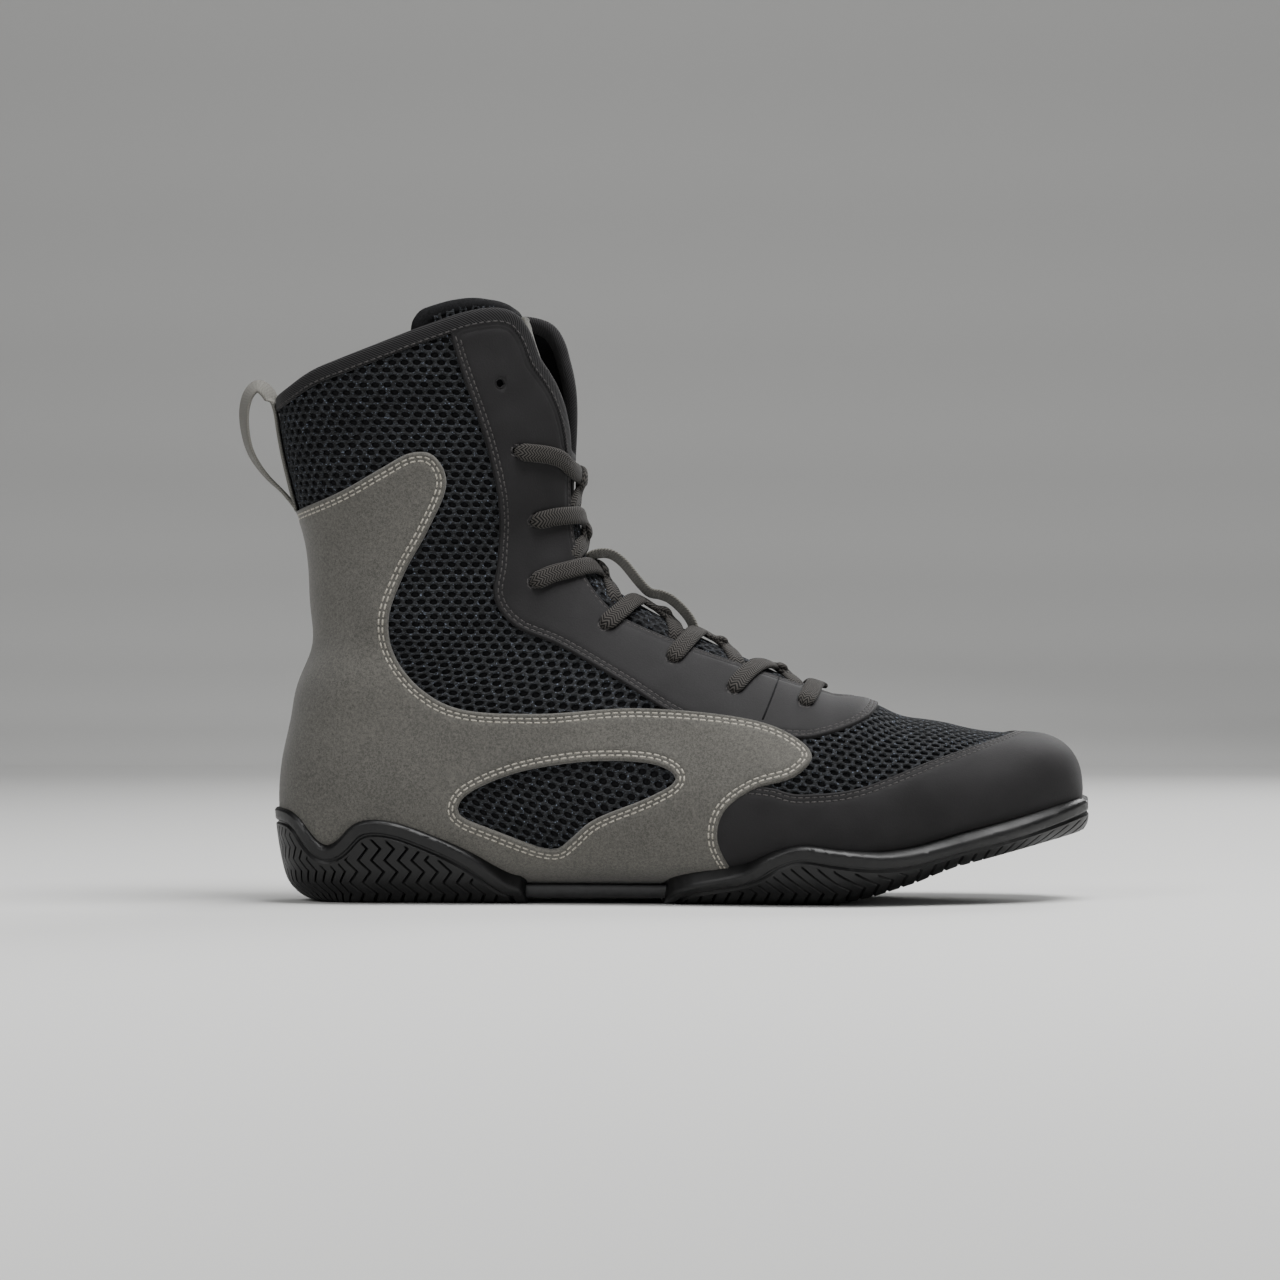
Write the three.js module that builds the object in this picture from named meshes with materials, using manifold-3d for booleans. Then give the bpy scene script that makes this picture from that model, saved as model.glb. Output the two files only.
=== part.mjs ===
// A high-top boxing boot for the right foot, empty and standing on its sole.
// Millimetres: +X runs to the toe, +Y to the inner side of the foot, +Z up.
// The origin is on the floor, under the flat of the heel.
// The upper and every layer on it come from one form, a last in sections,
// which is grown or shrunk along its own normals and then cut.

import * as THREE from 'three';
import { mergeVertices } from 'three/addons/utils/BufferGeometryUtils.js';
import Module from 'manifold-3d';

const wasm = await Module();
wasm.setup();

// Main sizes
const LENGTH = 288;
const BALL_WIDTH = 95;
const UPPER_HEIGHT = 205;
const TOE_SPRING = 25;
const SOLE_THICKNESS = 6.8;
const HEEL_REST = 52;
const CLEARANCE = 0.3;

// Upper, insole and tongue
const WALL = 2;
const LASTING_MARGIN = 9;
const INSOLE_THICKNESS = 4;
const TONGUE_THICKNESS = 4.5;
const TONGUE_PAD_MARGIN = 1.6;

// Layers on the upper
const OVERLAY_THICKNESS = 1.1;
const BINDING_WIDTH = 5;
const BINDING_THICKNESS = 0.9;
const EYELET_DIAMETER = 3;
const LABEL_WIDTH = 22;
const LABEL_THICKNESS = 0.8;

// Laces and webbing
const LACE_WIDTH = 5.8;
const LACE_THICKNESS = 2.2;
const KEEPER_WIDTH = 8;
const KEEPER_THICKNESS = 1.2;
const LOOP_WIDTH = 11;
const LOOP_THICKNESS = 1.4;

// Rubber
const RUBBER_WALL = 2.2;
const RIB_HEIGHT = 0.8;
const RIB_WIDTH = 6;
const RIB_PITCH = 15;
const RIB_ZIGZAG = 5;
const LIP_BAND = 4.2;
const LIP_GROOVE = 1.3;
const ARCH_LIFT = 1.6;
const GROOVE_DEPTH = 0.9;

// Fineness of the faceted form
const RING_POINTS = 16;
const VAMP_ROWS = [6, 12];
const SHAFT_ROW = 19;
const CURVE_STEPS = 1;
const REACH = 400;

// The last, from the toe to the collar. Each section is a plane through a point on the
// top line and one on the bottom and back line, given as shares of LENGTH and, above the
// footbed, of UPPER_HEIGHT. Half widths, swing to the inner side: shares of BALL_WIDTH.
// Belly is where the section is widest, low and high are its roundness below and above
// that, and lean is how far the tongue stands behind the top line, a share of LENGTH.
const FORM_COLUMNS = ['topAlong', 'topUp', 'baseAlong', 'baseUp', 'outer', 'inner', 'swing',
  'belly', 'low', 'high', 'lean'];
const FORM = [
  [0.995, 0.056, 0.995, 0.025, 0.042, 0.042, 0.095, 0.45, 2.10, 2.00, 0.000],
  [0.990, 0.087, 0.991, 0.007, 0.121, 0.121, 0.092, 0.42, 2.20, 2.00, 0.000],
  [0.976, 0.119, 0.976, 0.002, 0.205, 0.205, 0.084, 0.42, 2.40, 2.10, 0.000],
  [0.953, 0.144, 0.949, 0.002, 0.284, 0.284, 0.074, 0.40, 2.60, 2.20, 0.000],
  [0.918, 0.162, 0.911, 0.003, 0.358, 0.358, 0.059, 0.40, 2.80, 2.20, 0.000],
  [0.868, 0.186, 0.861, 0.002, 0.419, 0.419, 0.042, 0.38, 2.80, 2.10, 0.000],
  [0.812, 0.225, 0.806, 0.001, 0.463, 0.463, 0.024, 0.36, 2.80, 2.00, 0.000],
  [0.753, 0.277, 0.747, 0.000, 0.493, 0.493, 0.008, 0.34, 2.80, 1.95, 0.000],
  [0.694, 0.321, 0.684, 0.000, 0.500, 0.500, 0.000, 0.32, 2.80, 1.90, 0.000],
  [0.635, 0.352, 0.618, 0.000, 0.484, 0.484, 0.000, 0.31, 2.80, 1.85, 0.000],
  [0.576, 0.389, 0.549, 0.000, 0.453, 0.442, 0.000, 0.30, 2.80, 1.80, 0.000],
  [0.517, 0.428, 0.476, 0.000, 0.416, 0.395, 0.000, 0.29, 2.80, 1.80, 0.000],
  [0.465, 0.467, 0.399, 0.000, 0.384, 0.363, 0.000, 0.28, 2.80, 1.85, 0.000],
  [0.424, 0.501, 0.323, 0.000, 0.366, 0.356, 0.000, 0.28, 2.70, 1.90, 0.000],
  [0.396, 0.538, 0.243, 0.000, 0.358, 0.354, 0.000, 0.29, 2.60, 2.00, 0.000],
  [0.382, 0.577, 0.160, 0.000, 0.354, 0.354, 0.000, 0.30, 2.50, 2.00, 0.000],
  [0.377, 0.613, 0.083, 0.002, 0.352, 0.352, 0.000, 0.31, 2.40, 2.00, 0.000],
  [0.374, 0.645, 0.030, 0.030, 0.349, 0.349, 0.000, 0.33, 2.30, 2.00, 0.001],
  [0.372, 0.674, 0.013, 0.113, 0.347, 0.347, 0.000, 0.34, 2.25, 2.05, 0.003],
  [0.372, 0.703, 0.015, 0.211, 0.345, 0.345, 0.000, 0.35, 2.20, 2.10, 0.007],
  [0.373, 0.733, 0.031, 0.308, 0.343, 0.343, 0.000, 0.38, 2.20, 2.15, 0.010],
  [0.374, 0.767, 0.049, 0.406, 0.345, 0.345, 0.000, 0.42, 2.20, 2.20, 0.016],
  [0.375, 0.801, 0.050, 0.494, 0.349, 0.349, 0.000, 0.45, 2.20, 2.20, 0.023],
  [0.375, 0.840, 0.044, 0.581, 0.356, 0.356, 0.000, 0.46, 2.20, 2.20, 0.030],
  [0.373, 0.884, 0.028, 0.664, 0.364, 0.364, 0.000, 0.47, 2.20, 2.20, 0.038],
  [0.370, 0.933, 0.014, 0.747, 0.373, 0.373, 0.000, 0.48, 2.20, 2.20, 0.047],
  [0.366, 0.981, 0.006, 0.820, 0.379, 0.379, 0.000, 0.48, 2.20, 2.20, 0.052],
  [0.365, 1.035, 0.001, 0.894, 0.382, 0.382, 0.000, 0.48, 2.20, 2.20, 0.056],
];

// Rise of the tread: share of LENGTH, share of TOE_SPRING
const TREAD = [
  [-0.100, 0.00], [0.688, 0.00], [0.736, 0.12], [0.785, 0.30], [0.833, 0.51],
  [0.885, 0.66], [0.938, 0.82], [1.000, 1.00], [1.100, 1.28],
];

// Half gap of the throat: section of the last, then shares of BALL_WIDTH
const THROAT = [
  [7.75, 0.010, 0.010], [7.95, 0.065, 0.065], [8.6, 0.100, 0.100], [10, 0.128, 0.128],
  [12, 0.150, 0.150], [13.3, 0.142, 0.138], [15, 0.112, 0.100], [17, 0.099, 0.084],
  [19, 0.102, 0.082], [21, 0.124, 0.086], [23, 0.176, 0.095], [25, 0.255, 0.115],
  [27, 0.330, 0.160],
];

// Lines on the side of the boot: share of LENGTH, share of UPPER_HEIGHT above the footbed
const COLLAR_BACK = [
  [-0.030, 0.815], [0.010, 0.838], [0.051, 0.873], [0.088, 0.893], [0.136, 0.918], [0.175, 0.939],
  [0.209, 0.956], [0.233, 0.968], [0.257, 0.976],
];
const COLLAR_OUTER_FRONT = [[0.282, 0.979], [0.303, 0.968], [0.319, 0.935], [0.326, 0.890]];
const COLLAR_INNER_FRONT = [[0.300, 0.983], [0.326, 0.978], [0.345, 0.964], [0.359, 0.934], [0.366, 0.890]];
const HEEL_LIP = [
  [-0.040, 0.128], [0.012, 0.129], [0.034, 0.114], [0.054, 0.078], [0.068, 0.064], [0.082, 0.073],
  [0.105, 0.104], [0.135, 0.111], [0.176, 0.097], [0.241, 0.055], [0.290, 0.002], [0.309, -0.013],
  [0.318, -0.050],
];
const FOREFOOT_LIP = [
  [0.474, -0.050], [0.484, -0.018], [0.511, 0.001], [0.571, 0.022], [0.607, 0.053], [0.643, 0.069],
  [0.690, 0.062], [0.746, 0.036], [0.800, 0.022], [0.870, 0.016], [0.932, 0.024], [0.990, 0.040],
  [1.040, 0.045],
];
const OVERLAY_EDGE = [
  [-0.030, 0.620], [0.041, 0.646], [0.090, 0.672], [0.138, 0.709], [0.174, 0.735],
  [0.203, 0.729], [0.217, 0.680], [0.194, 0.602], [0.165, 0.528], [0.147, 0.451],
  [0.156, 0.387], [0.190, 0.330], [0.240, 0.298], [0.331, 0.292], [0.457, 0.301], [0.572, 0.284],
  [0.632, 0.257], [0.658, 0.221], [0.638, 0.187], [0.590, 0.165], [0.555, 0.130], [0.545, 0.087],
  [0.556, 0.045], [0.590, -0.020],
];
const WINDOW = [
  [0.231, 0.132], [0.243, 0.156], [0.283, 0.183], [0.331, 0.201], [0.403, 0.212], [0.469, 0.206],
  [0.494, 0.181], [0.463, 0.152], [0.397, 0.114], [0.367, 0.080], [0.349, 0.063], [0.319, 0.071],
  [0.259, 0.103], [0.237, 0.117],
];
const STAY_BACK = [
  [0.212, 1.050], [0.224, 0.925], [0.265, 0.747], [0.281, 0.630], [0.278, 0.553],
  [0.273, 0.490], [0.300, 0.440], [0.354, 0.406], [0.427, 0.346], [0.485, 0.295], [0.540, 0.262],
  [0.632, 0.250],
];
const STAY_TIP = [[0.670, 0.253], [0.713, 0.262], [0.737, 0.277], [0.748, 0.300], [0.752, 0.340]];
const CAP_EDGE = [
  [0.520, 0.150], [0.570, 0.170], [0.608, 0.168], [0.645, 0.157], [0.717, 0.161],
  [0.820, 0.164], [0.905, 0.165], [0.940, 0.162], [1.050, 0.200],
];
const TONGUE_EDGE = [
  [0.205, 0.990], [0.184, 0.975], [0.175, 0.945], [0.180, 0.900], [0.240, 0.690],
  [0.315, 0.535], [0.440, 0.420], [0.610, 0.310], [0.745, 0.240],
];
const TONGUE_TOP = [[0.235, 0.998], [0.265, 1.002], [0.300, 0.998], [0.330, 0.975]];
const LABEL_SPAN = [0.800, 0.975];

// Eyelets: share of LENGTH, share of UPPER_HEIGHT above the footbed, the top one first
const EYELETS = [
  [0.281, 0.854], [0.300, 0.740], [0.320, 0.622], [0.319, 0.515],
  [0.406, 0.440], [0.489, 0.382], [0.563, 0.329], [0.650, 0.305],
];
// The lace keeper: section of the last, height above the top line as a multiple of the lace
const KEEPER = [
  [15.60, 0.15], [15.38, 1.00], [15.10, 2.10], [14.40, 2.80], [13.70, 2.95], [13.20, 2.75],
  [12.85, 2.65], [12.50, 2.65], [12.05, 2.75], [11.70, 2.65], [11.40, 2.20], [11.25, 1.20],
  [11.15, 0.15],
];
// Centre of the pull loop's outer leg, then back up along the heel: shares as above
const LOOP_OUTER = [
  [0.001, 0.818], [-0.008, 0.846], [-0.021, 0.857], [-0.033, 0.838], [-0.037, 0.799], [-0.030, 0.747],
  [-0.012, 0.706], [0.012, 0.672], [0.031, 0.657],
];

const COLOURS = {
  rubber: [0x141414, 0.45],
  plate: [0x2a2a2b, 0.6],
  mesh: [0x1b1c1e, 0.9],
  microfibre: [0x2b292c, 0.75],
  nubuck: [0x57564f, 0.9],
  twill: [0x1e1e20, 0.85],
  lace: [0x252423, 0.8],
  webbing: [0x8a8983, 0.85],
  foam: [0x202123, 0.9],
};

// Shares to lengths

function alongLength(share) {
  return share * LENGTH - HEEL_REST;
}

// A table read between its rows, by its first column
function tableAt(table, place) {
  const next = table.findIndex(row => row[0] > place);
  const i = next < 0 ? table.length - 1 : Math.max(next, 1);
  const share = (place - table[i - 1][0]) / (table[i][0] - table[i - 1][0]);
  return table[i].map((value, c) => THREE.MathUtils.lerp(table[i - 1][c], value, share));
}

function treadRise(share) {
  return TOE_SPRING * tableAt(TREAD, share)[1];
}

function footbed(share) {
  return treadRise(share) + SOLE_THICKNESS;
}

function sidePoint([along, up]) {
  return new THREE.Vector2(alongLength(along), footbed(along) + up * UPPER_HEIGHT);
}

function smoothLine(shares) {
  const points = shares.map(sidePoint);
  return new THREE.SplineCurve(points).getPoints((points.length - 1) * CURVE_STEPS);
}

function catmullRom(a, b, c, d, t) {
  const linear = (c - a) * t;
  const square = (2 * a - 5 * b + 4 * c - d) * t * t;
  const cube = (3 * b - a - 3 * c + d) * t * t * t;
  return 0.5 * (2 * b + linear + square + cube);
}

function tableRow(table, at) {
  const last = table.length - 1;
  const i = Math.min(Math.floor(at), last - 1);
  const row = k => table[THREE.MathUtils.clamp(k, 0, last)];
  return table[0].map((_, c) => catmullRom(row(i - 1)[c], row(i)[c], row(i + 1)[c], row(i + 2)[c], at - i));
}

// The last

function sectionAt(at, leaning = false) {
  const values = tableRow(FORM, at);
  const share = Object.fromEntries(FORM_COLUMNS.map((name, c) => [name, values[c]]));
  const top = sidePoint([share.topAlong, share.topUp]);
  const base = sidePoint([share.baseAlong, share.baseUp]);
  if (leaning) top.x -= share.lean * LENGTH;
  return {
    top, base,
    axis: top.clone().sub(base).normalize(),
    outer: share.outer * BALL_WIDTH,
    inner: share.inner * BALL_WIDTH,
    swing: share.swing * BALL_WIDTH,
    belly: share.belly,
    low: share.low,
    high: share.high,
  };
}

// Turn runs round a section: 0 under the foot, the outer side, 0.5 on top, the inner side
function pointOnSection(section, turn) {
  const outerSide = turn <= 0.5;
  const angle = 2 * Math.PI * (outerSide ? turn : 1 - turn);
  const below = angle <= Math.PI / 2;
  const power = 2 / (below ? section.low : section.high);
  const sine = Math.max(Math.sin(angle), 0) ** power;
  const cosine = Math.abs(Math.cos(angle)) ** power;
  const climb = below ? section.belly * (1 - cosine) : section.belly + (1 - section.belly) * cosine;
  const middle = section.base.clone().lerp(section.top, climb);
  const side = outerSide ? -section.outer : section.inner;
  return new THREE.Vector3(middle.x, section.swing + side * sine, middle.y);
}

// Every section at the toe and round the instep, and every second one of the vamp and shaft
const rowPlaces = FORM.map((_, i) => i).filter(i => {
  if (i > SHAFT_ROW) return (i - SHAFT_ROW) % 2 === 0;
  return i < VAMP_ROWS[0] || i > VAMP_ROWS[1] || (i - VAMP_ROWS[0]) % 2 === 0;
});

function formRings(leaning) {
  return rowPlaces.map(at => {
    const section = sectionAt(at, leaning);
    return Array.from({ length: RING_POINTS }, (_, j) => pointOnSection(section, j / RING_POINTS));
  });
}

function ringNormals(rings) {
  return rings.map((ring, i) => ring.map((point, j) => {
    const before = rings[Math.max(i - 1, 0)][j];
    const after = rings[Math.min(i + 1, rings.length - 1)][j];
    const left = ring[(j + RING_POINTS - 1) % RING_POINTS];
    const right = ring[(j + 1) % RING_POINTS];
    return new THREE.Vector3().subVectors(right, left).cross(after.clone().sub(before)).normalize();
  }));
}

const lastRings = formRings(false);
const lastNormals = ringNormals(lastRings);
const tongueRings = formRings(true);
const tongueNormals = ringNormals(tongueRings);

// Solids

function toManifold(geometry) {
  for (const name of Object.keys(geometry.attributes)) {
    if (name !== 'position') geometry.deleteAttribute(name);
  }
  const merged = mergeVertices(geometry, 1e-4);
  const mesh = new wasm.Mesh({
    numProp: 3,
    vertProperties: new Float32Array(merged.attributes.position.array),
    triVerts: new Uint32Array(merged.index.array),
  });
  return new wasm.Manifold(mesh);
}

function toGeometry(manifold) {
  const mesh = manifold.getMesh();
  const geometry = new THREE.BufferGeometry();
  geometry.setAttribute('position', new THREE.BufferAttribute(new Float32Array(mesh.vertProperties), 3));
  geometry.setIndex(new THREE.BufferAttribute(new Uint32Array(mesh.triVerts), 1));
  geometry.computeVertexNormals();
  return geometry;
}

function signedVolume(points, faces) {
  return faces.reduce((sum, [a, b, c]) => sum + points[a].dot(points[b].clone().cross(points[c])), 0);
}

// A closed solid through rings of equally many points, each end closed to its middle
function loft(rings) {
  const size = rings[0].length;
  const points = rings.flat();
  const faces = [];
  for (let i = 0; i < rings.length - 1; i++) {
    for (let j = 0; j < size; j++) {
      const a = i * size + j;
      const b = i * size + (j + 1) % size;
      faces.push([a, b, b + size], [a, b + size, a + size]);
    }
  }
  for (const [start, ring] of [[0, rings[0]], [(rings.length - 1) * size, rings.at(-1)]]) {
    const middle = ring.reduce((sum, p) => sum.add(p), new THREE.Vector3()).divideScalar(size);
    const centre = points.push(middle) - 1;
    for (let j = 0; j < size; j++) {
      const edge = [start + j, start + (j + 1) % size];
      faces.push(start === 0 ? [centre, edge[1], edge[0]] : [centre, edge[0], edge[1]]);
    }
  }
  const outward = signedVolume(points, faces) > 0;
  const geometry = new THREE.BufferGeometry().setFromPoints(points);
  geometry.setIndex(faces.flatMap(([a, b, c]) => (outward ? [a, b, c] : [a, c, b])));
  return toManifold(geometry);
}

// The last grown by a distance, or by one worked out from the outward normal
function grown(distance, rings = lastRings, normals = lastNormals) {
  const reach = typeof distance === 'function' ? distance : () => distance;
  return loft(rings.map((ring, i) => ring.map((point, j) => {
    const normal = normals[i][j];
    return point.clone().addScaledVector(normal, reach(normal));
  })));
}

function layer(from, to) {
  return grown(to).subtract(grown(from));
}

function tongueForm(distance) {
  return grown(distance - WALL - CLEARANCE, tongueRings, tongueNormals);
}

// A side view outline, as Vector2 of x and z, carried across the boot
function across(outline, fromY = -REACH, toY = REACH) {
  const geometry = new THREE.ExtrudeGeometry(new THREE.Shape(outline), {
    depth: toY - fromY, bevelEnabled: false, steps: 1,
  });
  geometry.rotateX(Math.PI / 2);
  geometry.translate(0, toY, 0);
  return toManifold(geometry);
}

// A plan outline, as Vector2 of x and y, carried up
function upward(outline, fromZ, toZ) {
  const geometry = new THREE.ExtrudeGeometry(new THREE.Shape(outline), {
    depth: toZ - fromZ, bevelEnabled: false, steps: 1,
  });
  geometry.translate(0, 0, fromZ);
  return toManifold(geometry);
}

// An open line moved sideways: to its left, seen along its run, where the distance is positive
function shifted(line, distance) {
  return line.map((point, i) => {
    const before = line[Math.max(i - 1, 0)];
    const after = line[Math.min(i + 1, line.length - 1)];
    const run = after.clone().sub(before).normalize();
    return new THREE.Vector2(point.x - run.y * distance, point.y + run.x * distance);
  });
}

function closedBelow(line) {
  return [...line, new THREE.Vector2(line.at(-1).x, -REACH), new THREE.Vector2(line[0].x, -REACH)];
}

function closedAbove(line) {
  return [...line, new THREE.Vector2(line.at(-1).x, REACH), new THREE.Vector2(line[0].x, REACH)];
}

// Collar, throat and underside of the upper

function throatCut(shrink) {
  const OUT = 14;
  const DEPTH_SHARE = 0.3;
  return loft(THROAT.map(([at, outer, inner]) => {
    const { top, base, axis } = sectionAt(Math.min(at, FORM.length - 1));
    const outside = top.clone().addScaledVector(axis, OUT);
    const inside = top.clone().lerp(base, DEPTH_SHARE);
    const sides = [-Math.max(outer * BALL_WIDTH - shrink, 0.05), Math.max(inner * BALL_WIDTH - shrink, 0.05)];
    return [
      new THREE.Vector3(outside.x, sides[0], outside.y),
      new THREE.Vector3(outside.x, sides[1], outside.y),
      new THREE.Vector3(inside.x, sides[1], inside.y),
      new THREE.Vector3(inside.x, sides[0], inside.y),
    ];
  }));
}

function collarCut(front, shrink, fromY, toY) {
  const line = shifted(smoothLine([...COLLAR_BACK, ...front]), shrink);
  const forward = new THREE.Vector2(REACH, line.at(-1).y);
  return across([...line, forward, new THREE.Vector2(REACH, REACH), new THREE.Vector2(line[0].x, REACH)],
    fromY, toY);
}

// What is open at the collar and throat, with its edges moved in by shrink
function opening(shrink) {
  return throatCut(shrink)
    .add(collarCut(COLLAR_OUTER_FRONT, shrink, -REACH, 0))
    .add(collarCut(COLLAR_INNER_FRONT, shrink, 0, REACH));
}

function bandOverFootbed(from, to) {
  const shares = TREAD.map(row => row[0]);
  const line = height => shares.map(s => new THREE.Vector2(alongLength(s), footbed(s) + height));
  return across([...line(from), ...line(to).reverse()]);
}

function undersideCut() {
  const FIRST = 3.4;
  const LAST = 16.3;
  const STEPS = 9;
  const places = Array.from({ length: STEPS }, (_, i) => THREE.MathUtils.lerp(FIRST, LAST, i / (STEPS - 1)));
  const edge = side => places.map(at => {
    const { base, swing, outer, inner } = sectionAt(at);
    const half = side < 0 ? outer : inner;
    return new THREE.Vector2(base.x, swing + side * (half - LASTING_MARGIN));
  });
  return upward([...edge(-1), ...edge(1).reverse()], -REACH, REACH)
    .intersect(bandOverFootbed(-SOLE_THICKNESS / 2, WALL + CLEARANCE / 2));
}

// Where a side line meets the last: the place on it and the normal there

function surfaceAt([along, up], side) {
  const target = sidePoint([along, up]);
  let best = { gap: Infinity };
  for (let i = 0; i < lastRings.length; i++) {
    for (let j = 0; j < RING_POINTS; j++) {
      const point = lastRings[i][j];
      if (Math.sign(point.y) !== side) continue;
      const gap = Math.hypot(point.x - target.x, point.z - target.y);
      if (gap < best.gap) best = { gap, i, j };
    }
  }
  return refined(target, rowPlaces[best.i], best.j / RING_POINTS);
}

function refined(target, at, turn) {
  const miss = (a, t) => {
    const point = pointOnSection(sectionAt(a), t);
    return Math.hypot(point.x - target.x, point.z - target.y);
  };
  for (let step = 0.4; step > 0.001; step /= 2) {
    for (const [da, dt] of [[1, 0], [-1, 0], [0, 0.03], [0, -0.03], [1, 0.03], [-1, -0.03]]) {
      while (miss(at + da * step, turn + dt * step) < miss(at, turn)) {
        at += da * step;
        turn += dt * step;
      }
    }
  }
  const spot = pointOnSection(sectionAt(at), turn);
  const alongRow = pointOnSection(sectionAt(at + 0.05), turn).sub(pointOnSection(sectionAt(at - 0.05), turn));
  const section = sectionAt(at);
  const roundRing = pointOnSection(section, turn + 0.01).sub(pointOnSection(section, turn - 0.01));
  return { at, spot, normal: roundRing.cross(alongRow).normalize() };
}

function eyeletPins() {
  const RADIUS = EYELET_DIAMETER / 2;
  const LONG = 16;
  const SIDES = 6;
  const pins = [-1, 1].flatMap(side => EYELETS.map(place => {
    const { spot, normal } = surfaceAt(place, side);
    const geometry = new THREE.CylinderGeometry(RADIUS, RADIUS, LONG, SIDES);
    geometry.applyQuaternion(new THREE.Quaternion().setFromUnitVectors(new THREE.Vector3(0, 1, 0), normal));
    geometry.translate(spot.x, spot.y, spot.z);
    return toManifold(geometry);
  }));
  return pins.reduce((all, pin) => all.add(pin));
}

// Outlines of the pieces in the side view

const heelLip = smoothLine(HEEL_LIP);
const forefootLip = smoothLine(FOREFOOT_LIP);

function overlayOutline(shift) {
  const line = shifted(smoothLine(OVERLAY_EDGE), shift);
  return closedBelow(line);
}

function windowOutline() {
  const points = WINDOW.map(sidePoint);
  const curve = new THREE.CatmullRomCurve3(points.map(p => new THREE.Vector3(p.x, p.y, 0)), true);
  return curve.getPoints(points.length).slice(0, -1).map(p => new THREE.Vector2(p.x, p.y));
}

function rubberBelow(line, drop) {
  return across(closedBelow(shifted(line, -drop)));
}

// Rubber: thick underfoot and thin up the side, cut flat along the tread

function rubberForm(extra) {
  const UNDERCUT = 1.5;
  return grown(normal => {
    const down = Math.max(-normal.z, 0) ** 2;
    return THREE.MathUtils.lerp(RUBBER_WALL, SOLE_THICKNESS + UNDERCUT, down) + extra;
  });
}

function aboveTread(height) {
  const line = TREAD.map(([share]) => new THREE.Vector2(alongLength(share), treadRise(share) + height));
  return across(closedAbove(line));
}

function zigzagRibs(fromX, toX) {
  const RISE = 11;
  const LEVELS = [0, 1, 2, 3];
  const ribs = [];
  for (let x = fromX; x < toX; x += RIB_PITCH) {
    const sway = k => (k % 2 ? -1 : 1) * RIB_ZIGZAG / 2;
    const side = half => LEVELS.map(k => new THREE.Vector2(x + half + sway(k), k * RISE));
    ribs.push(across([...side(-RIB_WIDTH / 2), ...side(RIB_WIDTH / 2).reverse()]));
  }
  return ribs.reduce((all, rib) => all.add(rib));
}

function bottomGrooves(places) {
  const HALF = BALL_WIDTH;
  const SLANT = 10;
  const WIDTH = 2.4;
  return places.map(share => {
    const x = alongLength(share);
    const near = [[-SLANT, -HALF], [0, 0], [-SLANT, HALF]];
    const front = near.map(([dx, y]) => new THREE.Vector2(x + dx + WIDTH, y)).reverse();
    const back = near.map(([dx, y]) => new THREE.Vector2(x + dx, y));
    return upward([...back, ...front], -REACH, GROOVE_DEPTH);
  }).reduce((all, groove) => all.add(groove));
}

const rubberCore = rubberForm(0);
const rubberProud = rubberForm(RIB_HEIGHT);
const footSpace = grown(CLEARANCE);
const treadCut = aboveTread(0);

function rubberCup(lip, ribs, grooves) {
  const whole = rubberBelow(lip, 0);
  const band = whole.subtract(rubberBelow(lip, LIP_BAND));
  const ribArea = rubberBelow(lip, LIP_BAND + LIP_GROOVE).intersect(ribs).intersect(aboveTread(GROOVE_DEPTH));
  return rubberCore.intersect(whole)
    .add(rubberProud.intersect(band.add(ribArea)))
    .subtract(footSpace)
    .intersect(treadCut)
    .subtract(grooves);
}

function outsoleHeel() {
  const ribs = zigzagRibs(alongLength(0.01) + RIB_WIDTH, alongLength(0.29));
  return rubberCup(heelLip, ribs, bottomGrooves([0.12, 0.24]));
}

function outsoleForefoot() {
  const ribs = zigzagRibs(alongLength(0.53), alongLength(0.985));
  return rubberCup(forefootLip, ribs, bottomGrooves([0.56, 0.61, 0.665]));
}

function archPlate() {
  const from = alongLength(0.26);
  const to = alongLength(0.53);
  const top = SOLE_THICKNESS - CLEARANCE;
  const corners = [[from, ARCH_LIFT], [to, ARCH_LIFT], [to, top], [from, top]];
  const block = corners.map(([x, z]) => new THREE.Vector2(x, z));
  return grown(SOLE_THICKNESS - ARCH_LIFT + 1)
    .subtract(footSpace)
    .intersect(across(block))
    .subtract(rubberBelow(heelLip, -CLEARANCE))
    .subtract(rubberBelow(forefootLip, -CLEARANCE));
}

// The upper and what is sewn on it

const openCollar = opening(0);
const pins = eyeletPins();
const skin = layer(CLEARANCE, CLEARANCE + OVERLAY_THICKNESS);
const soleArea = rubberBelow(heelLip, -CLEARANCE)
  .add(rubberBelow(forefootLip, -CLEARANCE))
  .add(bandOverFootbed(-2 * SOLE_THICKNESS, 0));
const BINDING_FOOT = 0.735;
const bindingArea = across([[-1, BINDING_FOOT], [1, BINDING_FOOT], [1, 2], [-1, 2]]
  .map(([along, up]) => new THREE.Vector2(along * LENGTH, SOLE_THICKNESS + up * UPPER_HEIGHT)));

function upper() {
  return layer(-WALL, 0).subtract(openCollar).subtract(undersideCut()).subtract(pins);
}

function collarBinding() {
  const out = CLEARANCE + BINDING_THICKNESS;
  const channel = layer(-WALL - CLEARANCE, CLEARANCE).subtract(opening(CLEARANCE));
  return layer(-WALL, out)
    .intersect(opening(-BINDING_WIDTH))
    .intersect(bindingArea)
    .subtract(opening(out))
    .subtract(channel);
}

function heelOverlay() {
  return skin.intersect(across(overlayOutline(0)))
    .subtract(across(windowOutline()))
    .subtract(soleArea);
}

function toeCap() {
  return skin.intersect(across(closedBelow(smoothLine(CAP_EDGE))))
    .subtract(across(overlayOutline(CLEARANCE)))
    .subtract(soleArea);
}

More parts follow.
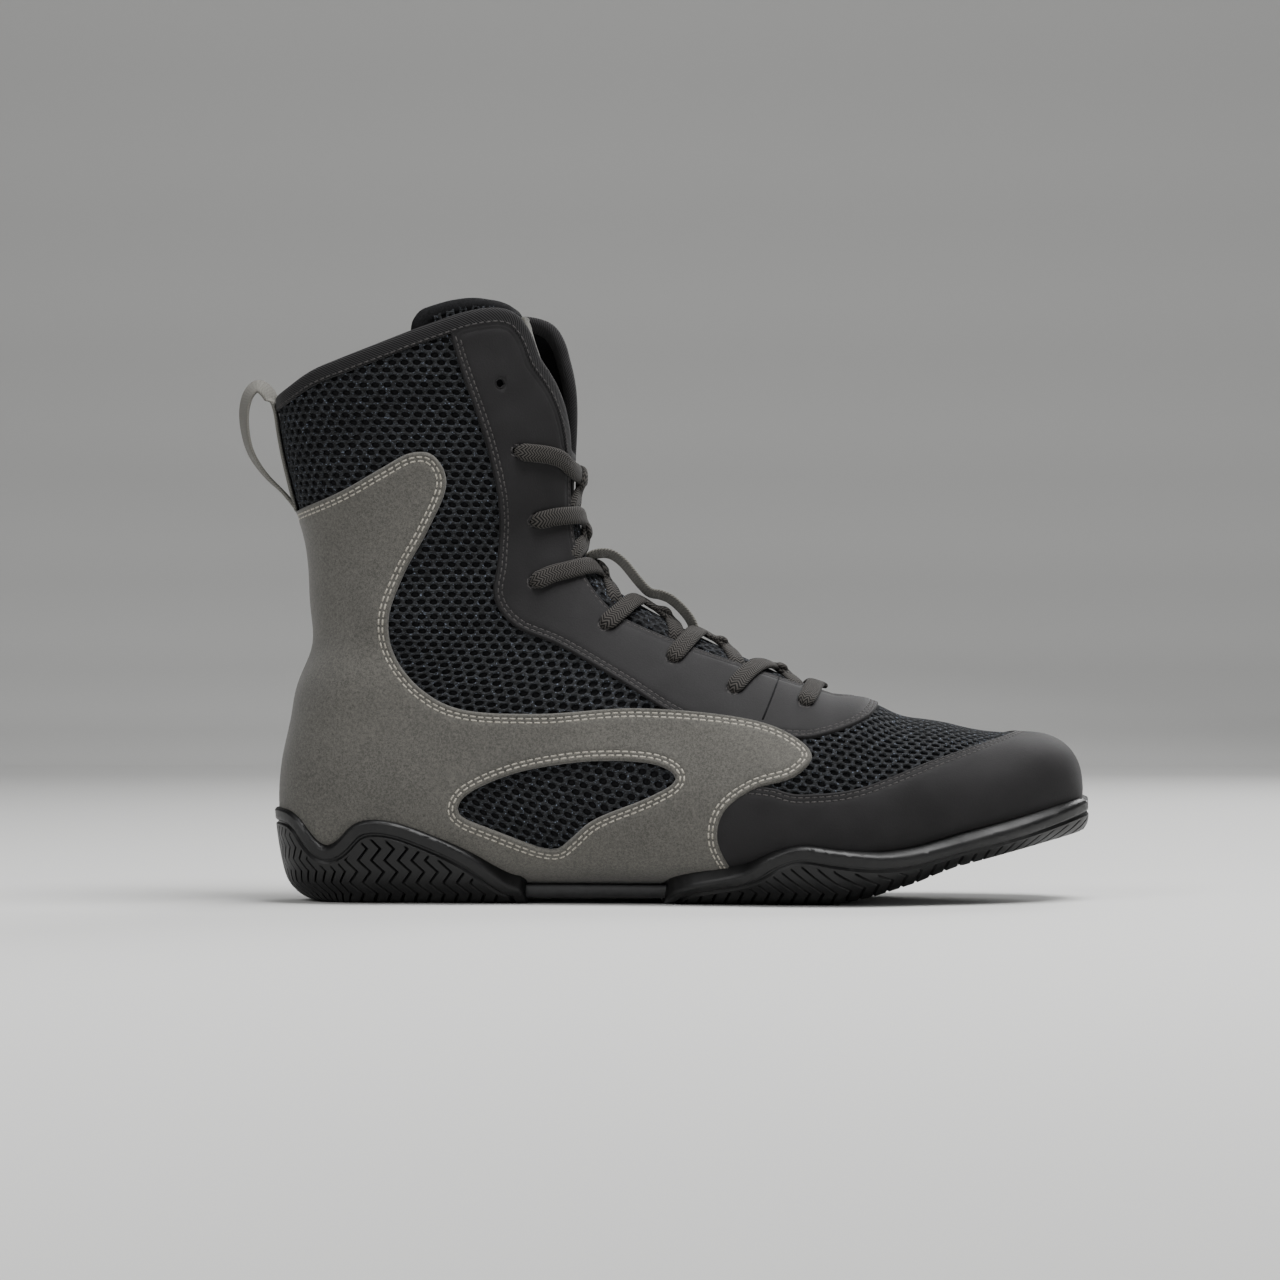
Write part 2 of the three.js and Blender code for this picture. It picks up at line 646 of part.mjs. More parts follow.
function eyestay() {
  const line = smoothLine([...STAY_BACK, ...STAY_TIP]);
  const nearBinding = opening(-BINDING_WIDTH - CLEARANCE).intersect(bindingArea);
  return skin.intersect(across(closedAbove(line)))
    .subtract(across(overlayOutline(CLEARANCE)))
    .subtract(openCollar)
    .subtract(nearBinding)
    .subtract(pins);
}

// Tongue, label, insole

function tongue() {
  const PAD_DEPTH = 3.4;
  const PAD_TOP_SECTION = 17.6;
  const area = smoothLine([...TONGUE_TOP].reverse().concat(TONGUE_EDGE));
  const front = [[0.745, 0.500], [0.420, 1.100], [0.345, 1.100]].map(sidePoint);
  const sheet = tongueForm(0).subtract(tongueForm(-TONGUE_THICKNESS)).intersect(across([...area, ...front]));
  const padArea = throatCut(TONGUE_PAD_MARGIN).intersect(belowSection(PAD_TOP_SECTION));
  const pad = layer(-WALL - CLEARANCE - PAD_DEPTH, -CLEARANCE).intersect(padArea);
  return sheet.add(pad);
}

// Everything on the toe side of a section
function belowSection(at) {
  const { top, base, axis } = sectionAt(at);
  const out = top.clone().addScaledVector(axis, REACH);
  const back = base.clone().addScaledVector(axis, -REACH);
  return across([back, out, new THREE.Vector2(out.x, -REACH)]);
}

function tongueLabel() {
  const [low, high] = LABEL_SPAN.map(up => SOLE_THICKNESS + up * UPPER_HEIGHT);
  const half = LABEL_WIDTH / 2;
  const patch = [[0.2, low], [0.5, low], [0.5, high], [0.2, high]]
    .map(([along, z]) => new THREE.Vector2(alongLength(along), z));
  return tongueForm(CLEARANCE + LABEL_THICKNESS).subtract(tongueForm(CLEARANCE))
    .intersect(across(patch, -half, half));
}

function insole() {
  return grown(-WALL - CLEARANCE)
    .intersect(bandOverFootbed(WALL + CLEARANCE, WALL + CLEARANCE + INSOLE_THICKNESS));
}

// Webbing and laces

function strapAlong(line, thickness, width) {
  const outer = shifted(line, thickness / 2);
  const inner = shifted(line, -thickness / 2).reverse();
  return across([...outer, ...inner], -width / 2, width / 2);
}

function pullLoop() {
  const heel = LOOP_OUTER.length - 1;
  const outerLeg = smoothLine(LOOP_OUTER);
  const top = outerLeg[0];
  const foot = outerLeg.at(-1);
  const backLine = rowPlaces.map(at => sectionAt(at).base);
  const offset = CLEARANCE + LOOP_THICKNESS / 2;
  const innerLeg = shifted(backLine, offset).filter(p => p.y > foot.y - heel && p.y < top.y + heel);
  return strapAlong(outerLeg, LOOP_THICKNESS, LOOP_WIDTH)
    .add(strapAlong(innerLeg, LOOP_THICKNESS, LOOP_WIDTH))
    .subtract(footSpace)
    .subtract(grown(CLEARANCE * 2 + OVERLAY_THICKNESS).intersect(across(overlayOutline(CLEARANCE))))
    .subtract(grown(CLEARANCE * 2 + BINDING_THICKNESS).intersect(opening(-BINDING_WIDTH - CLEARANCE)));
}

function laceKeeper() {
  const line = KEEPER.map(([at, height]) => {
    const { top, axis } = sectionAt(at);
    return top.clone().addScaledVector(axis, height * LACE_THICKNESS + KEEPER_THICKNESS / 2);
  });
  const smooth = new THREE.SplineCurve(line).getPoints(line.length);
  return strapAlong(smooth, KEEPER_THICKNESS, KEEPER_WIDTH);
}

const laceLift = CLEARANCE * 2 + OVERLAY_THICKNESS;
const laceLayer = layer(laceLift, laceLift + LACE_THICKNESS);

function laceStrand(from, to, up) {
  const REST = 2.2;
  const run = to.clone().sub(from);
  const geometry = new THREE.BoxGeometry(run.length() + 2 * REST, LACE_WIDTH, BALL_WIDTH / 2);
  const x = run.clone().normalize();
  const y = up.clone().cross(x).normalize();
  const basis = new THREE.Matrix4().makeBasis(x, y, x.clone().cross(y));
  const middle = from.clone().lerp(to, 0.5);
  geometry.applyMatrix4(basis.setPosition(middle));
  return toManifold(geometry).intersect(laceLayer);
}

// The top line's own normal, in the middle plane of the boot
function topNormal(at) {
  const run = sectionAt(at + 0.5).top.sub(sectionAt(at - 0.5).top).normalize();
  return new THREE.Vector3(run.y, 0, -run.x);
}

// Where a strand dips under the far side of the throat, at a section of the last
function throatEdge(at, side) {
  const INSIDE = 0.7;
  const gap = tableAt(THROAT, at)[side < 0 ? 1 : 2] * BALL_WIDTH;
  const { top } = sectionAt(at);
  return new THREE.Vector3(top.x, side * gap * INSIDE, top.y);
}

// Two strands, each from an eyelet towards the next one down on the other side.
// The lowest pair stops short of the bar.
function laceCross(eyelet) {
  const SHORT = 0.55;
  const lowest = eyelet + 2 === EYELETS.length;
  const strands = [-1, 1].map(side => {
    const start = surfaceAt(EYELETS[eyelet], side);
    const next = surfaceAt(EYELETS[eyelet + 1], -side).at;
    const end = THREE.MathUtils.lerp(start.at, next, lowest ? SHORT : 1);
    return laceStrand(start.spot, throatEdge(end, -side), topNormal((start.at + end) / 2));
  });
  return strands[0].add(strands[1]);
}

function laceBar() {
  const [near, far] = [-1, 1].map(side => surfaceAt(EYELETS.at(-1), side));
  return laceStrand(near.spot, far.spot, topNormal(near.at));
}

// The assembly

const boot = new THREE.Group();

function addPiece(name, manifold, look) {
  const [color, roughness] = COLOURS[look];
  const material = new THREE.MeshStandardMaterial({ color, roughness, metalness: 0 });
  const mesh = new THREE.Mesh(toGeometry(manifold), material);
  mesh.name = name;
  boot.add(mesh);
}

addPiece('outsole_heel', outsoleHeel(), 'rubber');
addPiece('arch_plate', archPlate(), 'plate');
addPiece('outsole_forefoot', outsoleForefoot(), 'rubber');
addPiece('upper', upper(), 'mesh');
addPiece('insole', insole(), 'foam');
addPiece('tongue', tongue(), 'mesh');
addPiece('heel_overlay', heelOverlay(), 'nubuck');
addPiece('toe_cap', toeCap(), 'microfibre');
addPiece('eyestay', eyestay(), 'microfibre');
addPiece('collar_binding', collarBinding(), 'twill');
addPiece('tongue_label', tongueLabel(), 'webbing');
addPiece('lace_keeper', laceKeeper(), 'webbing');
addPiece('pull_loop', pullLoop(), 'webbing');
EYELETS.slice(1, -1).forEach((_, i) => addPiece(`lace_cross_${i + 1}`, laceCross(i + 1), 'lace'));
addPiece('lace_bar', laceBar(), 'lace');

export default boot;
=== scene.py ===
# %% [markdown]
# # A high-top boxing boot, finished around its solids
#
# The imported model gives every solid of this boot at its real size. This script
# keeps them as the frame and makes the surfaces that a hand would touch: mesh,
# suede, rubber, laces. It works in metres: +X to the toe, +Y to the inner side
# of the foot, +Z up, with the origin on the floor under the heel.

# %% Frame and camera
import math
import bpy
import bmesh
import numpy as np
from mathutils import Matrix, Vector


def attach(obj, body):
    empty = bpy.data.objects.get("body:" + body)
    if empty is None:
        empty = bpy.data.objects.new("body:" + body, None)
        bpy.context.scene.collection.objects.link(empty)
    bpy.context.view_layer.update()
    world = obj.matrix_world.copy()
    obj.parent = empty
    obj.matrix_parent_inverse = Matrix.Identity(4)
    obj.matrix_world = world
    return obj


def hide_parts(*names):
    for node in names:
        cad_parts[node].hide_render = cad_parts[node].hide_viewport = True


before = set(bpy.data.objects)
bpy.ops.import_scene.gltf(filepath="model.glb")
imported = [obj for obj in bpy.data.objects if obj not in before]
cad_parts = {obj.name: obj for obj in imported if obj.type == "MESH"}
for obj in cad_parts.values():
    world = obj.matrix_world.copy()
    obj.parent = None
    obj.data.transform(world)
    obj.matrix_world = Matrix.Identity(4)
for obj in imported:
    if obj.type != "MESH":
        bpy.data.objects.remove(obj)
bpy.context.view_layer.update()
MM = 0.001

CAMERA_AT = (0.0779, -1.700, 0.0924)
SENSOR = 36.0
METRES_PER_PIXEL = 0.000355
FRAME_PIXELS = 1280

camera_data = bpy.data.cameras.new("camera")
camera_data.sensor_width = SENSOR
camera_data.lens = SENSOR * -CAMERA_AT[1] / (METRES_PER_PIXEL * FRAME_PIXELS)
camera = bpy.data.objects.new("camera", camera_data)
camera.location = CAMERA_AT
camera.rotation_euler = (math.pi / 2, 0, 0)
bpy.context.scene.collection.objects.link(camera)
bpy.context.scene.camera = camera
print("camera lens", round(camera_data.lens, 1), "mm; solids in the frame:", len(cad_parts))

# %% [markdown]
# ## The last
#
# A shoe is built round a last, the form of the foot. Here it is a short table:
# each row is a plane through the foot with a point on the top line, a point on
# the bottom and back line, two half widths and the roundness between them. A
# smooth curve through the rows gives any section. Every layer of the boot is
# later laid on this one surface, so that the layers follow each other.

# %% Sizes of the last
LENGTH = 288 * MM
BALL_WIDTH = 95 * MM
UPPER_HEIGHT = 205 * MM
TOE_SPRING = 25 * MM
SOLE_THICKNESS = 6.8 * MM
HEEL_REST = 52 * MM

# top along, top up, base along, base up, outer, inner, swing, belly, low, high, lean
FORM = np.array([
    [0.9960, 0.0405, 0.9960, 0.0395, 0.004, 0.004, 0.096, 0.45, 2.00, 2.00, 0.000],
    [0.995, 0.056, 0.995, 0.025, 0.042, 0.042, 0.095, 0.45, 2.10, 2.00, 0.000],
    [0.990, 0.087, 0.991, 0.007, 0.121, 0.121, 0.092, 0.42, 2.20, 2.00, 0.000],
    [0.976, 0.119, 0.976, 0.002, 0.205, 0.205, 0.084, 0.42, 2.40, 2.10, 0.000],
    [0.953, 0.144, 0.949, 0.002, 0.284, 0.284, 0.074, 0.40, 2.60, 2.20, 0.000],
    [0.918, 0.162, 0.911, 0.003, 0.358, 0.358, 0.059, 0.40, 2.80, 2.20, 0.000],
    [0.868, 0.186, 0.861, 0.002, 0.419, 0.419, 0.042, 0.38, 2.80, 2.10, 0.000],
    [0.812, 0.225, 0.806, 0.001, 0.463, 0.463, 0.024, 0.36, 2.80, 2.00, 0.000],
    [0.753, 0.277, 0.747, 0.000, 0.493, 0.493, 0.008, 0.34, 2.80, 1.95, 0.000],
    [0.694, 0.321, 0.684, 0.000, 0.500, 0.500, 0.000, 0.32, 2.80, 1.90, 0.000],
    [0.635, 0.352, 0.618, 0.000, 0.484, 0.484, 0.000, 0.31, 2.80, 1.85, 0.000],
    [0.576, 0.389, 0.549, 0.000, 0.453, 0.442, 0.000, 0.30, 2.80, 1.80, 0.000],
    [0.517, 0.428, 0.476, 0.000, 0.416, 0.395, 0.000, 0.29, 2.80, 1.80, 0.000],
    [0.465, 0.467, 0.399, 0.000, 0.384, 0.363, 0.000, 0.28, 2.80, 1.85, 0.000],
    [0.424, 0.501, 0.323, 0.000, 0.366, 0.356, 0.000, 0.28, 2.70, 1.90, 0.000],
    [0.396, 0.538, 0.243, 0.000, 0.358, 0.354, 0.000, 0.29, 2.60, 2.00, 0.000],
    [0.382, 0.577, 0.160, 0.000, 0.354, 0.354, 0.000, 0.30, 2.50, 2.00, 0.000],
    [0.377, 0.613, 0.083, 0.002, 0.352, 0.352, 0.000, 0.31, 2.40, 2.00, 0.000],
    [0.374, 0.645, 0.030, 0.030, 0.349, 0.349, 0.000, 0.33, 2.30, 2.00, 0.001],
    [0.372, 0.674, 0.013, 0.113, 0.347, 0.347, 0.000, 0.34, 2.25, 2.05, 0.003],
    [0.372, 0.703, 0.015, 0.211, 0.345, 0.345, 0.000, 0.35, 2.20, 2.10, 0.007],
    [0.373, 0.733, 0.031, 0.308, 0.343, 0.343, 0.000, 0.38, 2.20, 2.15, 0.010],
    [0.374, 0.767, 0.049, 0.406, 0.345, 0.345, 0.000, 0.42, 2.20, 2.20, 0.016],
    [0.375, 0.801, 0.050, 0.494, 0.349, 0.349, 0.000, 0.45, 2.20, 2.20, 0.023],
    [0.375, 0.840, 0.044, 0.581, 0.356, 0.356, 0.000, 0.46, 2.20, 2.20, 0.030],
    [0.373, 0.884, 0.028, 0.664, 0.364, 0.364, 0.000, 0.47, 2.20, 2.20, 0.038],
    [0.370, 0.933, 0.014, 0.747, 0.373, 0.373, 0.000, 0.48, 2.20, 2.20, 0.047],
    [0.366, 0.981, 0.006, 0.820, 0.379, 0.379, 0.000, 0.48, 2.20, 2.20, 0.052],
    [0.365, 1.035, 0.001, 0.894, 0.382, 0.382, 0.000, 0.48, 2.20, 2.20, 0.056],
])
FIRST_SECTION = -1
LAST_SECTION = 27

# Rise of the tread: share of LENGTH, share of TOE_SPRING
TREAD = np.array([
    [-0.100, 0.00], [0.688, 0.00], [0.736, 0.12], [0.785, 0.30], [0.833, 0.51],
    [0.885, 0.66], [0.938, 0.82], [1.000, 1.00], [1.100, 1.28],
])


def tread_at(x):
    return TOE_SPRING * np.interp((x + HEEL_REST) / LENGTH, TREAD[:, 0], TREAD[:, 1])


def side_points(shares):
    """x and z of places in the side view, given as shares of length and height."""
    shares = np.asarray(shares, float)
    x = shares[:, 0] * LENGTH - HEEL_REST
    return np.column_stack([x, tread_at(x) + SOLE_THICKNESS + shares[:, 1] * UPPER_HEIGHT])


def rows_between(table, at):
    """A smooth curve through the rows of a table, read at places between them."""
    last = len(table) - 1
    at = np.clip(at, 0, last)
    i = np.minimum(at.astype(int), last - 1)
    t = (at - i)[:, None]
    a, b, c, d = (table[np.clip(i + k, 0, last)] for k in (-1, 0, 1, 2))
    square = 2 * a - 5 * b + 4 * c - d
    cube = 3 * b - a - 3 * c + d
    return 0.5 * (2 * b + (c - a) * t + square * t ** 2 + cube * t ** 3)


def run_along(points):
    """How far each of a row of points is from the first, along the row."""
    return np.concatenate([[0], np.cumsum(np.linalg.norm(np.diff(points[:, :3], axis=0), axis=1))])


# %% [markdown]
# ## A surface that can be looked up
#
# A place on the boot is given by two numbers: at, the section from the toe up
# to the collar, and girth, how far round the section from under the foot over
# the outer side (0.25) to the top (0.5) and back down the inner side. A flat
# pattern drawn in these two numbers can be laid on the last like leather.
# The few creases of the boot are put in here, so every layer follows them.

# %% Place, girth and the way back
AT_STEP = 0.05
HALF_RING = 128
TURNS = 360

# Soft creases: two ends in the side view, depth and half width in millimetres
CREASES = [
    [(0.770, 0.245), (0.700, 0.130), 0.9, 7.0],
    [(0.730, 0.280), (0.655, 0.200), -0.6, 6.0],
    [(0.300, 0.600), (0.180, 0.520), 0.8, 9.0],
    [(0.290, 0.540), (0.200, 0.420), -0.6, 9.0],
    [(0.020, 0.420), (0.130, 0.400), 0.7, 9.0],
    [(0.020, 0.330), (0.120, 0.340), -0.6, 9.0],
    [(0.340, 0.250), (0.300, 0.120), 0.5, 8.0],
    [(0.080, 0.760), (0.200, 0.800), 0.7, 8.0],
    [(0.060, 0.830), (0.190, 0.880), -0.5, 7.0],
    [(0.470, 0.270), (0.560, 0.200), 0.5, 8.0],
    [(0.900, 0.100), (0.800, 0.060), 0.4, 10.0],
]


def crease_relief(points):
    """How far the listed creases move the surface in or out."""
    flat = points[..., [0, 2]]
    move = np.zeros(points.shape[:-1])
    for start, end, depth, width in CREASES:
        a, b = side_points([start, end])
        run = b - a
        share = np.clip(((flat - a) @ run) / (run @ run), 0, 1)[..., None]
        gap = np.linalg.norm(flat - (a + share * run), axis=-1) / (width * MM)
        move -= depth * MM * (np.exp(-gap ** 2) - 0.45 * np.exp(-(gap - 1.7) ** 2))
    return move


class Surface:
    """One form of the boot as a fine table of points and outward normals."""

    def __init__(self, leaning=0.0):
        self.ats = np.arange(FIRST_SECTION, LAST_SECTION + AT_STEP / 2, AT_STEP)
        rows = rows_between(FORM, self.ats - FIRST_SECTION)
        self.top = side_points(rows[:, 0:2])
        self.base = side_points(rows[:, 2:4])
        self.top[:, 0] -= leaning * rows[:, 10] * LENGTH
        self.rows = rows
        angle = np.linspace(0, math.pi, TURNS)
        halves = [self.half(angle, -rows[:, 4]), self.half(angle, rows[:, 5])]
        steps = [np.linalg.norm(np.diff(half, axis=1), axis=-1) for half in halves]
        self.lengths = [np.cumsum(np.pad(step, ((0, 0), (1, 0))), axis=1) for step in steps]
        rings = []
        for half, length in zip(halves, self.lengths):
            share = np.linspace(0, 1, HALF_RING + 1)
            ring = [np.column_stack([np.interp(share * l[-1], l, p[:, c]) for c in range(3)])
                    for p, l in zip(half, length)]
            rings.append(np.array(ring))
        self.points = np.concatenate([rings[0], rings[1][:, -2:0:-1]], axis=1)
        self.normals = self.find_normals()
        self.points = self.points + self.normals * crease_relief(self.points)[..., None]
        self.normals = self.find_normals()

    def half(self, angle, side):
        """Half of every section, from the base round one side to the top."""
        rows = self.rows
        below = angle[None] <= math.pi / 2
        power = 2 / np.where(below, rows[:, 8:9], rows[:, 9:10])
        sine = np.maximum(np.sin(angle), 0)[None] ** power
        cosine = np.abs(np.cos(angle))[None] ** power
        belly = rows[:, 7:8]
        climb = np.where(below, belly * (1 - cosine), belly + (1 - belly) * cosine)
        line = self.base[:, None] + (self.top - self.base)[:, None] * climb[..., None]
        y = (rows[:, 6:7] + side[:, None] * sine) * BALL_WIDTH
        return np.stack([line[..., 0], y, line[..., 1]], axis=-1)

    def find_normals(self):
        along = np.gradient(self.points, axis=0)
        around = np.roll(self.points, -1, axis=1) - np.roll(self.points, 1, axis=1)
        normals = np.cross(around, along)
        normals /= np.maximum(np.linalg.norm(normals, axis=-1, keepdims=True), 1e-12)
        return normals

    def look(self, at, girth):
        """Points and normals at places between the rows of the table."""
        i = np.clip((np.asarray(at, float) - FIRST_SECTION) / AT_STEP, 0, len(self.ats) - 1.001)
        j = (np.asarray(girth, float) % 1.0) * 2 * HALF_RING
        i0, j0 = i.astype(int), j.astype(int) % (2 * HALF_RING)
        u, v = (i - i0)[..., None], (j - np.floor(j))[..., None]
        j1 = (j0 + 1) % (2 * HALF_RING)
        results = []
        for grid in (self.points, self.normals):
            low = grid[i0, j0] * (1 - v) + grid[i0, j1] * v
            high = grid[i0 + 1, j0] * (1 - v) + grid[i0 + 1, j1] * v
            results.append(low * (1 - u) + high * u)
        return results

    def length_round(self, at):
        """The length once round the section at a place."""
        return np.interp(at, self.ats, self.lengths[0][:, -1] + self.lengths[1][:, -1])

    def laid(self, flat):
        """Flat pattern points (at, girth, height) laid on the surface."""
        points, normals = self.look(flat[:, 0], flat[:, 1])
        return points + normals * flat[:, 2:3]

    def find(self, side_view, side=-1):
        """The (at, girth) where a side view point meets the outer (-1) or inner (1) side."""
        side_view = np.asarray(side_view, float)
        axis = self.top - self.base
        size = np.maximum(np.linalg.norm(axis, axis=1), 1e-9)
        gap = side_view[:, None] - self.base[None]
        cross = (axis[:, 0] * gap[..., 1] - axis[:, 1] * gap[..., 0]) / size
        climb = (gap * axis[None]).sum(-1) / size ** 2
        outside = np.maximum(np.maximum(-climb, climb - 1), 0) * size
        middle = (outside[:, 1:] + outside[:, :-1]) / 2
        miss = np.where(cross[:, 1:] * cross[:, :-1] <= 0, middle, 1.0)
        k = miss.argmin(axis=1)
        n = np.arange(len(side_view))
        none = miss[n, k] >= 1.0
        k[none] = np.minimum((np.abs(cross) + outside)[none].argmin(axis=1), len(self.ats) - 2)
        a, b = cross[n, k], cross[n, k + 1]
        t = np.clip(np.where(np.abs(a - b) > 1e-12, a / np.where(a == b, 1, a - b), 0), 0, 1)
        climb = np.clip(climb[n, k] * (1 - t) + climb[n, k + 1] * t, 0, 1)
        row = self.rows[k]
        belly = row[:, 7]
        below = climb <= belly
        left = np.where(below, 1 - climb / belly, (climb - belly) / (1 - belly))
        power = np.where(below, row[:, 8], row[:, 9]) / 2
        angle = np.arccos(np.clip(left, 0, 1) ** power)
        angle = np.where(below, angle, math.pi - angle)
        length = self.lengths[0 if side < 0 else 1]
        place = angle / math.pi * (TURNS - 1)
        p0 = np.minimum(place.astype(int), TURNS - 2)
        run = length[k, p0] + (length[k, p0 + 1] - length[k, p0]) * (place - p0)
        girth = run / length[k, -1] / 2
        at = self.ats[k] + t * AT_STEP
        return np.column_stack([at, girth if side < 0 else 1 - girth])


last = Surface()
tongue_last = Surface(leaning=1.0)
BALL_SECTION = 9
BEYOND_TOP = 30
BEYOND_TOE = -2
underside = last.base[last.ats < 19 - AT_STEP / 2]
heel_line = last.base[last.ats > 13 - AT_STEP / 2]
print("last:", last.points.shape, "ball girth", round(last.length_round(BALL_SECTION) / MM), "mm")

# %% [markdown]
# ## Shader maths as plain expressions
#
# Each finish is built of nodes. A small class wraps a socket, so that a sum or
# a product of values adds its Math node by itself and a finish reads like a
# formula. Colours are blended by Mix nodes, since a Math node would grey them.

# %% Nodes
class Value:
    """A socket of a material, with arithmetic."""

    def __init__(self, finish, socket):
        self.finish, self.socket = finish, socket

    def maths(self, operation, a, b=0.0):
        return self.finish.node("ShaderNodeMath", {"operation": operation}, {0: a, 1: b})

    def __add__(self, other):
        return self.maths("ADD", self, other)

    def __mul__(self, other):
        return self.maths("MULTIPLY", self, other)

    __radd__ = __add__
    __rmul__ = __mul__

    def above(self, edge, soft):
        """0 below the edge, 1 above it, with a soft step between."""
        settings = {"interpolation_type": "SMOOTHSTEP"}
        return self.finish.node("ShaderNodeMapRange", settings, {0: self, 1: edge - soft, 2: edge + soft})


class Finish:
    """A material, built node by node."""

    def __init__(self, name):
        self.material = bpy.data.materials.new(name)
        self.material.use_nodes = True
        self.tree = self.material.node_tree
        self.tree.nodes.clear()
        self.place = self.node("ShaderNodeTexCoord", {}, {}, "Object")
        self.flat = self.node("ShaderNodeUVMap", {}, {})

    def node(self, kind, settings, inputs, output=0):
        node = self.tree.nodes.new(kind)
        for name, value in settings.items():
            setattr(node, name, value)
        for key, value in inputs.items():
            if isinstance(value, Value):
                self.tree.links.new(value.socket, node.inputs[key])
            else:
                node.inputs[key].default_value = value
        return Value(self, node.outputs[output])

    def noise(self, scale, detail, rough, where=None):
        inputs = {"Vector": where or self.place, "Scale": scale, "Detail": detail, "Roughness": rough}
        return self.node("ShaderNodeTexNoise", {}, inputs)

    def stretched(self, scale):
        """The coordinates scaled by a different amount along each axis."""
        return self.node("ShaderNodeMapping", {}, {"Vector": self.place, "Scale": scale})

    def axis(self, name):
        """One coordinate of the piece's own UV map."""
        return self.node("ShaderNodeSeparateXYZ", {}, {0: self.flat}, name)

    def blend(self, factor, a, b):
        a, b = ((*c, 1) if isinstance(c, tuple) else c for c in (a, b))
        return self.node("ShaderNodeMix", {"data_type": "RGBA"}, {0: factor, 6: a, 7: b}, 2)

    def bump(self, height, distance, strength=1.0, over=None):
        inputs = {"Height": height, "Distance": distance, "Strength": strength}
        if over:
            inputs["Normal"] = over
        return self.node("ShaderNodeBump", {}, inputs)

    def surface(self, **inputs):
        """Ends the material with one Principled surface."""
        named = {key.replace("_", " "): value for key, value in inputs.items()}
        colour = named["Base Color"]
        if isinstance(colour, tuple):
            named["Base Color"] = (*colour, 1)
        shader = self.node("ShaderNodeBsdfPrincipled", {}, named)
        output = self.tree.nodes.new("ShaderNodeOutputMaterial")
        self.tree.links.new(shader.socket, output.inputs[0])
        return self.material


def shade(r, g, b):
    """A colour seen on a screen, 0 to 255, as linear light."""
    return tuple(((c / 255 + 0.055) / 1.055) ** 2.4 if c > 10 else c / 255 / 12.92 for c in (r, g, b))


# %% [markdown]
# ## Finishes of the boot
#
# The suede is a warm grey with a fine nap and cloudy brushing; the smooth
# synthetic is black, matt and slightly grained; the mesh and braid are dull
# threads; the rubber is black with a low gloss. Real cloth and suede scatter
# light at grazing angles, which the sheen of the shader gives.

# %% Suede, synthetic, threads and rubber
def suede():
    f = Finish("grey suede")
    cloud = f.noise(30, 3, 0.55)
    nap = f.noise(1100, 3, 0.7)
    specks = f.noise(3000, 1, 0.5)
    tone = cloud * 0.16 + nap * 0.48 + specks * 0.36
    colour = f.blend(tone.above(0.5, 0.16), shade(64, 63, 60), shade(98, 96, 91))
    normal = f.bump(nap * 0.6 + specks * 0.4, 0.00012, 0.7, over=f.bump(cloud, 0.0008, 0.25))
    return f.surface(Base_Color=colour, Roughness=0.86 + nap * 0.1, Normal=normal,
                     Sheen_Weight=0.2, Sheen_Roughness=0.5, Specular_IOR_Level=0.2)


def synthetic():
    f = Finish("black synthetic")
    grain = f.noise(1500, 3, 0.65)
    wide = f.noise(60, 2, 0.5)
    colour = f.blend(wide.above(0.5, 0.25), shade(24, 23, 24), shade(31, 30, 31))
    normal = f.bump(grain, 0.00008, 0.8, over=f.bump(wide, 0.0006, 0.2))
    return f.surface(Base_Color=colour, Roughness=0.62 + grain * 0.16, Normal=normal,
                     Sheen_Weight=0.06, Sheen_Roughness=0.4, Specular_IOR_Level=0.22)


def mesh_thread():
    f = Finish("mesh thread")
    fibre = f.noise(1.0, 3, 0.7, f.stretched((900, 900, 3200)))
    glint = f.noise(1700, 1, 0.4)
    colour = f.blend(fibre.above(0.56, 0.12), shade(16, 17, 18), shade(56, 58, 62))
    colour = f.blend(glint.above(0.71, 0.03), colour, shade(100, 108, 122))
    return f.surface(Base_Color=colour, Roughness=0.8 + fibre * 0.15,
                     Normal=f.bump(fibre, 0.00015, 0.8), Specular_IOR_Level=0.25)


def backing():
    f = Finish("dark lining")
    weave = f.noise(1800, 2, 0.6)
    colour = f.blend(weave.above(0.5, 0.2), shade(11, 11, 12), shade(25, 25, 27))
    return f.surface(Base_Color=colour, Roughness=0.9, Normal=f.bump(weave, 0.0001, 0.5),
                     Specular_IOR_Level=0.15)


def woven(name, dark, light, pitch, column, sheen):
    """A band of slanting strands that turn back at each column. Its UV map is in metres."""
    f = Finish(name)
    u, v = f.axis("X"), f.axis("Y")
    turned = f.node("ShaderNodeMath", {"operation": "PINGPONG"}, {0: v + 0.5 * column, 1: column})
    strand = f.node("ShaderNodeMath", {"operation": "SINE"}, {0: (u + turned) * (2 * math.pi / pitch)})
    fuzz = f.noise(1500, 2, 0.6)
    tone = strand * 0.30 + 0.34 + fuzz * 0.32
    colour = f.blend(tone.above(0.5, 0.22), shade(*dark), shade(*light))
    return f.surface(Base_Color=colour, Roughness=0.78 + fuzz * 0.15,
                     Normal=f.bump(tone, 0.0003, 0.9), Sheen_Weight=sheen, Sheen_Roughness=0.5,
                     Specular_IOR_Level=0.2)


def rubber():
    f = Finish("black rubber")
    dust = f.noise(120, 4, 0.6)
    pores = f.noise(2200, 2, 0.5)
    colour = f.blend(dust.above(0.58, 0.14), shade(10, 10, 11), shade(19, 19, 19))
    return f.surface(Base_Color=colour, Roughness=0.33 + dust * 0.2,
                     Normal=f.bump(pores, 0.00004, 0.5), Specular_IOR_Level=0.36)


def thread(name, dark, light):
    f = Finish(name)
    twist = f.noise(2400, 2, 0.6)
    colour = f.blend(twist.above(0.5, 0.2), shade(*dark), shade(*light))
    return f.surface(Base_Color=colour, Roughness=0.7 + twist * 0.2, Normal=f.bump(twist, 0.0001, 0.7))


